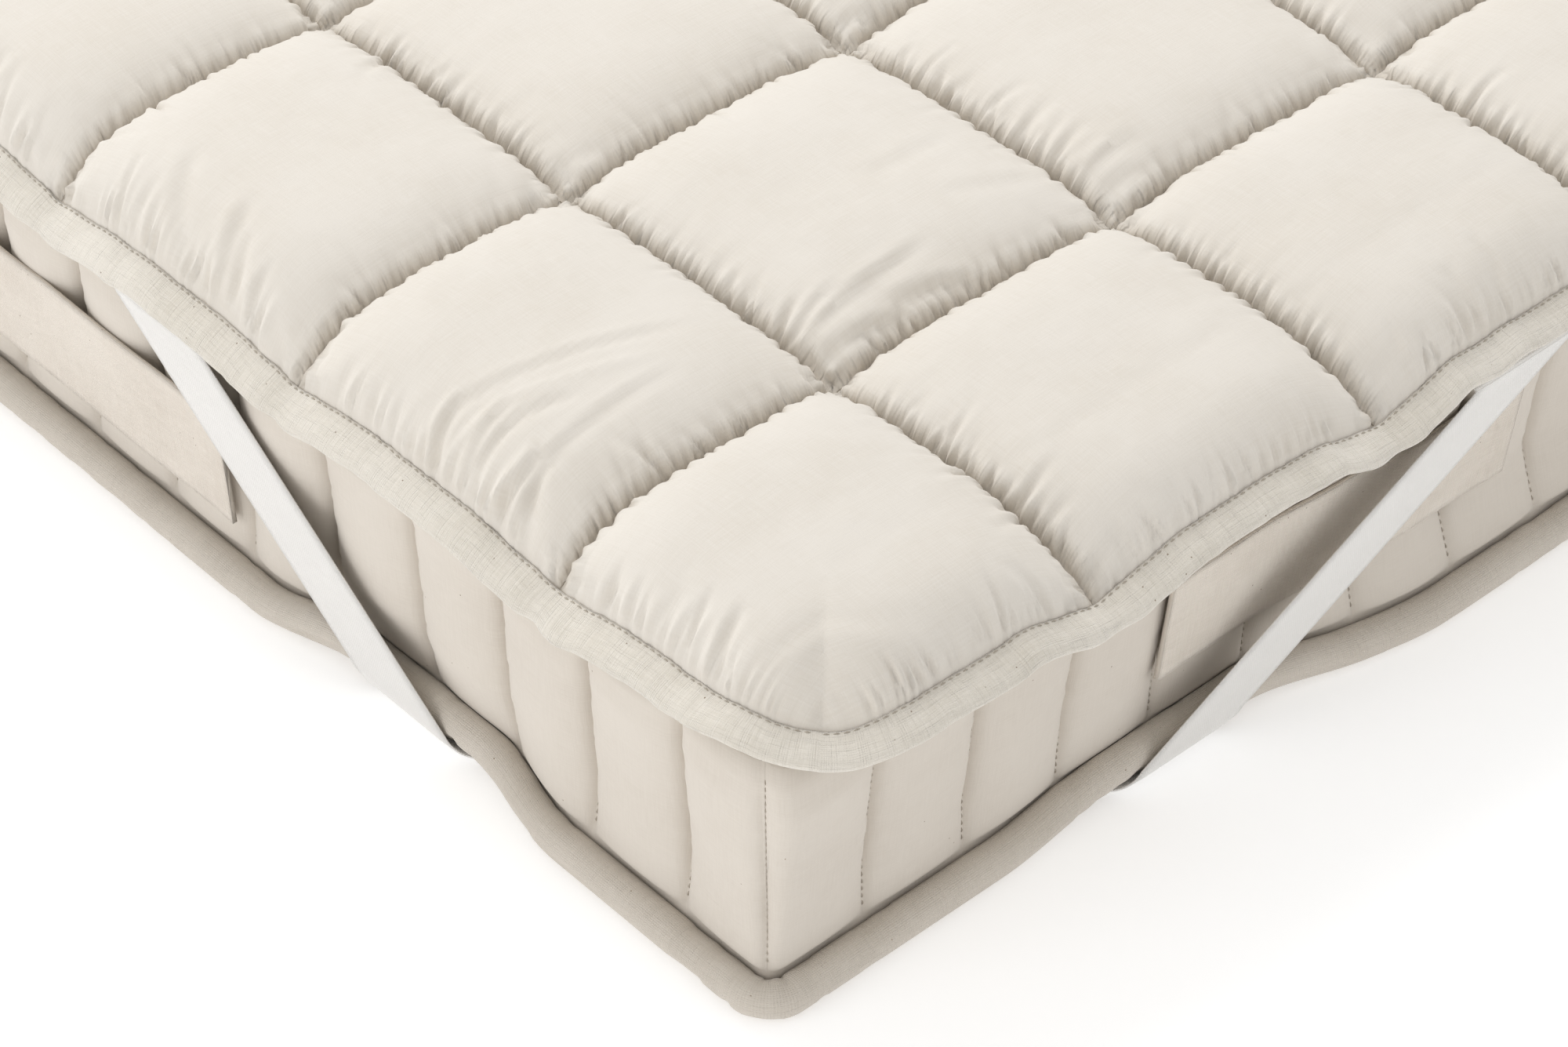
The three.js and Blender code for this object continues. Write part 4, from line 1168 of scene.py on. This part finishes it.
roll_size = ROLL_RADIUS + np.minimum(wrinkles + lumpy, ROLL_PROUD)
roll_inset = ROLL_MIDDLE + waist_depth(walk) - bow(walk) - roll_size * np.cos(turn)
roll_height = ROLL_MIDDLE + WAIST_LIFT * waist(walk) + roll_size * np.sin(turn)
roll_height = np.maximum(roll_height, FLOOR_CLEARANCE)
wall_inset = border_inset(walk, np.maximum(roll_height, LOW_ROWS[0]))
roll_inset = np.minimum(roll_inset, wall_inset - ROLL_CLEARANCE)
roll_flat = roll_points[:, None, :] + roll_inward[:, None, :] * roll_inset[..., None]
roll_sections = np.concatenate([roll_flat, roll_height[..., None]], -1)
roll = sweep_piece("bottom_roll", roll_sections, roll_cotton, True)
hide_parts("mattress_roll")

# %% [markdown]
# One woven elastic band at each corner starts under the tape on one side, runs slantwise down the border,
# passes under the mattress corner and comes up on the other side in the same way. It is stretched, so it
# stands straight between the tape and the roll and only bends where it turns under. Half a band is laid
# out as distance walked down the side against distance from the corner. The two halves differ: on the
# long side the band lies close to the border, and on the short side it starts higher and further in and
# hangs free of it.

# %% Make the elastic bands
BAND_WIDTH, BAND_THICKNESS = 42.0, 1.4
BAND_STOPS, BAND_EDGES, ARC_STEPS = 44, 9, 13
EDGE_THINNING, LOOK_AROUND = 0.35, 1.5
# Inset and height of the inner face below the tape, from the sewn end to the tape's edge
SHORT_TOP = [(15.0, 158.6), (6.4, 157.0), (5.1, 156.2), (5.2, 154.0)]
LONG_TOP = [(15.0, 147.6), (6.4, 144.0), (5.1, 143.0), (5.2, 140.8)]
ROLL_FLAT, WRAP_RADIUS = 8.315, 9.9
# Places of the middle line from the pad's corner: its sewn end, the tape's edge, the wrap and the floor
SHORT_PLACES = [436.0, 436.0, 262.0, 248.0]
LONG_PLACES = [455.0, 455.0, 294.0, 280.0]


def band_line(top, wrap_inset):
    """Inset and height of a band's inner face, from its sewn end to its run under the mattress."""
    arc = np.linspace(0.0, math.pi / 2, ARC_STEPS)
    inset = wrap_inset - WRAP_RADIUS * np.cos(arc)
    height = ROLL_FLAT + WAIST_LIFT - WRAP_RADIUS * np.sin(arc)
    return np.vstack([top, np.column_stack([inset, height])])


def half_band(top, wrap_inset, places):
    """Sections of half a band: inset, height and distance from the corner, and the half's length."""
    line = band_line(top, wrap_inset)
    walk = walked(line)
    knots = [0.0, walk[2], walk[len(top)], walk[-1]]
    stops = np.unique(np.concatenate([np.linspace(0.0, knots[2], BAND_STOPS), walk]))
    way = at_distance(line, walk, stops + LOOK_AROUND) - at_distance(line, walk, stops - LOOK_AROUND)
    way /= np.linalg.norm(way, axis=-1, keepdims=True)
    way[-1] = (1.0, 0.0)
    outward = np.stack([way[:, 1], -way[:, 0]], -1)
    middle = np.interp(stops, knots, places)
    slant = (places[1] - places[2]) / (knots[2] - knots[1])
    half_along = BAND_WIDTH / 2 * math.hypot(1.0, slant)
    edge = np.linspace(1.0, -1.0, BAND_EDGES)
    edges = np.concatenate([edge, edge[::-1]])
    outer_skin = BAND_THICKNESS * (1.0 - EDGE_THINNING * edge[::-1] ** 8)
    skins = np.concatenate([np.zeros(BAND_EDGES), outer_skin])
    face = at_distance(line, walk, stops)[:, None, :] + outward[:, None, :] * skins[None, :, None]
    along = middle[:, None] + edges[None, :] * half_along
    length = np.hypot(np.diff(middle), np.diff(stops)).sum()
    return np.concatenate([face, along[..., None]], -1), length


short_half, short_length = half_band(SHORT_TOP, END_INSET + ROLL_FLAT + SHORT_WAIST, SHORT_PLACES)
long_half, long_length = half_band(LONG_TOP, ROLL_FLAT + LONG_WAIST, LONG_PLACES)
for n, (side_x, side_y) in enumerate([(1, -1), (1, 1), (-1, 1), (-1, -1)], start=1):
    corner = np.array([side_x * WIDTH / 2, side_y * LENGTH / 2, 0.0])
    to_middle = np.array([-side_x, -side_y, 1.0])
    first = corner + to_middle * short_half[..., [2, 0, 1]]
    second = corner + to_middle * long_half[..., [0, 2, 1]]
    run = [mix(first[-1], second[-1], share) for share in (0.25, 0.5, 0.75)]
    sections = np.concatenate([first, run, second[::-1]])
    band = sweep_piece(f"corner_elastic_{n}", sections, white_elastic, False)
    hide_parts(f"elastic_band_{n}")

# %% [markdown]
# Eight canvas handles are sewn to the border, two on each side. Each is a strip folded under at its ends,
# sewn there, and it lies along the border when nobody pulls it. The bands cross over the handles near the
# corners. A strip with a little thickness, laid along the crests of the ribs, is all it takes; between the
# crests it dips slightly, as cloth does.

# %% Make the handles
HANDLE_THICK, HANDLE_GAP = 2.0, 0.5
HANDLE_STATIONS, HANDLE_ROWS = 75, 15
# Start, end, lower and upper edge
SHORT_HANDLE = (243.0, 466.0, 56.0, 119.0)
LONG_HANDLE = (386.0, 609.0, 39.0, 103.0)
FLAT_LOW, FLAT_HIGH = LEVELS[3, 0], LEVELS[4, 0]
HEM_THICK, HEM_WIDTH, HEM_STEP = 0.5, 14.0, 3.0
SAG_DEPTH, SAG_LENGTH, SAG_HEIGHT, SAG_SEED = 0.35, 24.0, 30.0, 61
EDGE_SWAY, SWAY_LENGTH, SWAY_SEED = 0.7, 30.0, 62


def handle_inner(walk, height):
    """Inset of a handle's inner face, straight up and down along the crests."""
    share = (height - FLAT_LOW) / (FLAT_HIGH - FLAT_LOW)
    return mix(crest_inset(walk, FLAT_LOW), crest_inset(walk, FLAT_HIGH), share) - HANDLE_GAP


def make_handle(number, walk_from, walk_to, low, high):
    """Makes one handle between two distances of the outline and two heights."""
    stations = np.linspace(walk_from, walk_to, HANDLE_STATIONS)
    walk, height = np.meshgrid(stations, np.linspace(low, high, HANDLE_ROWS), indexing="ij")
    inner = handle_inner(walk, height)
    wavy = SAG_DEPTH * soft_noise(walk / SAG_LENGTH, height / SAG_HEIGHT + 5.0 * number, SAG_SEED)
    at_end = np.minimum(np.abs(walk - walk_from), np.abs(walk - walk_to))
    hem = HEM_THICK * ease((HEM_WIDTH - at_end) / HEM_STEP)
    outer = inner - HANDLE_THICK - hem + wavy
    sway = EDGE_SWAY * soft_noise(stations / SWAY_LENGTH, stations * 0.0 + number, SWAY_SEED)
    height = height + sway[:, None]
    inset = np.concatenate([inner, outer[:, ::-1]], axis=1)
    height = np.concatenate([height, height[:, ::-1]], axis=1)
    points, inward = outline(stations)
    flat = points[:, None, :] + inward[:, None, :] * inset[..., None]
    sections = np.concatenate([flat, height[..., None]], -1)
    handle = sweep_piece(f"canvas_handle_{number}", sections, seed_canvas, False)
    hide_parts(f"handle_{number}")


for side, (length, _, _) in enumerate(SIDES):
    first, last, low, high = SHORT_HANDLE if side % 2 == 0 else LONG_HANDLE
    start = corner_walks[side] + HALF_ARC - MATTRESS_CORNER
    make_handle(2 * side + 1, start + first, start + last, low, high)
    make_handle(2 * side + 2, start + length - last, start + length - first, low, high)

# %% [markdown]
# Thousands of stitches hold all this together. Each is a short bar of thread that rises out of the cloth
# and goes back in. Making an object for each would be slow, so all the stitches of one kind are joined in
# one mesh, worked out with arrays from their ends and the direction that the cloth faces.

# %% Sew the stitches
THREAD_RADIUS = 0.4
# Share of the stitch's length, of the thread's radius, and height above the cloth
STITCH_RINGS = [(0.0, 0.55, -0.25), (0.5, 1.0, 0.35), (1.0, 0.55, -0.25)]
# Length of a stitch and gap to the next one
QUILT_STITCH, TAPE_STITCH, BORDER_STITCH = (3.6, 1.7), (3.0, 1.3), (2.7, 1.6)
UP = np.array([0.0, 0.0, 1.0])
LINE_POINTS, LINE_END, QUILT_LIFT = 400, 1.0, 0.4
TAPE_ROW, TAPE_LIFT = np.array([(14.7, 4.5)]), 0.05
BORDER_ROW, BORDER_LIFT = np.arange(23.0, 140.0, 2.0), 0.3


def sew(name, lines, stitch):
    """Joins the stitches along lines, each with the direction it faces, into one piece of thread."""
    length, gap = stitch
    starts, ends, facing = [], [], []
    for line, outward in lines:
        walk = walked(line)
        at = np.arange(gap / 2, walk[-1] - length, length + gap)
        starts.append(at_distance(line, walk, at))
        ends.append(at_distance(line, walk, at + length))
        facing.append(np.tile(outward, (len(at), 1)))
    starts, ends, facing = (np.concatenate(part) for part in (starts, ends, facing))
    way = ends - starts
    way /= np.linalg.norm(way, axis=1, keepdims=True)
    side = np.cross(facing, way)
    side /= np.linalg.norm(side, axis=1, keepdims=True)
    rings = []
    for share, radius, lift in STITCH_RINGS:
        centre = mix(starts, ends, share) + facing * lift
        size = THREAD_RADIUS * radius
        rings.append(np.stack([centre + out * size for out in (side, facing, -side, -facing)], 1))
    points = np.stack(rings, 1).reshape(-1, 3)
    faces = []
    for base in range(0, len(points), 12):
        for ring in (0, 4):
            for k in range(4):
                a, b = base + ring + k, base + ring + (k + 1) % 4
                faces.append((a, b, b + 4, a + 4))
        faces.append((base + 3, base + 2, base + 1, base))
        faces.append((base + 8, base + 9, base + 10, base + 11))
    cloth = np.concatenate([points[list(face)][:, :2] for face in faces])
    make_piece(name, points, faces, cloth, sewing_thread)
    print(name, len(starts), "stitches")


quilt_lines = []
for x in lines_x[1:-1]:
    y = np.linspace(lines_y[0] + LINE_END, lines_y[-1] - LINE_END, LINE_POINTS)
    quilt_lines.append((lying_pad(np.full(LINE_POINTS, x), y) + UP * QUILT_LIFT, UP))
for y in lines_y[1:-1]:
    x = np.linspace(lines_x[0] + LINE_END, lines_x[-1] - LINE_END, LINE_POINTS)
    quilt_lines.append((lying_pad(x, np.full(LINE_POINTS, y)) + UP * QUILT_LIFT, UP))
sew("quilting_stitches", quilt_lines, QUILT_STITCH)

tape_row = tape_surface(TAPE_ROW)[:, 0]
tape_line = np.vstack([tape_row, tape_row[:1]]) + UP * TAPE_LIFT
sew("binding_stitches", [(tape_line, UP)], TAPE_STITCH)

border_lines = []
for place in np.concatenate([upright_lines, corner_seams]):
    point, inward = outline(np.array([place]))
    inset = border_inset(np.full(len(BORDER_ROW), place), BORDER_ROW) - BORDER_LIFT
    row = np.column_stack([point + inward * inset[:, None], BORDER_ROW])
    border_lines.append((row, np.array([-inward[0, 0], -inward[0, 1], 0.0])))
sew("border_stitches", border_lines, BORDER_STITCH)
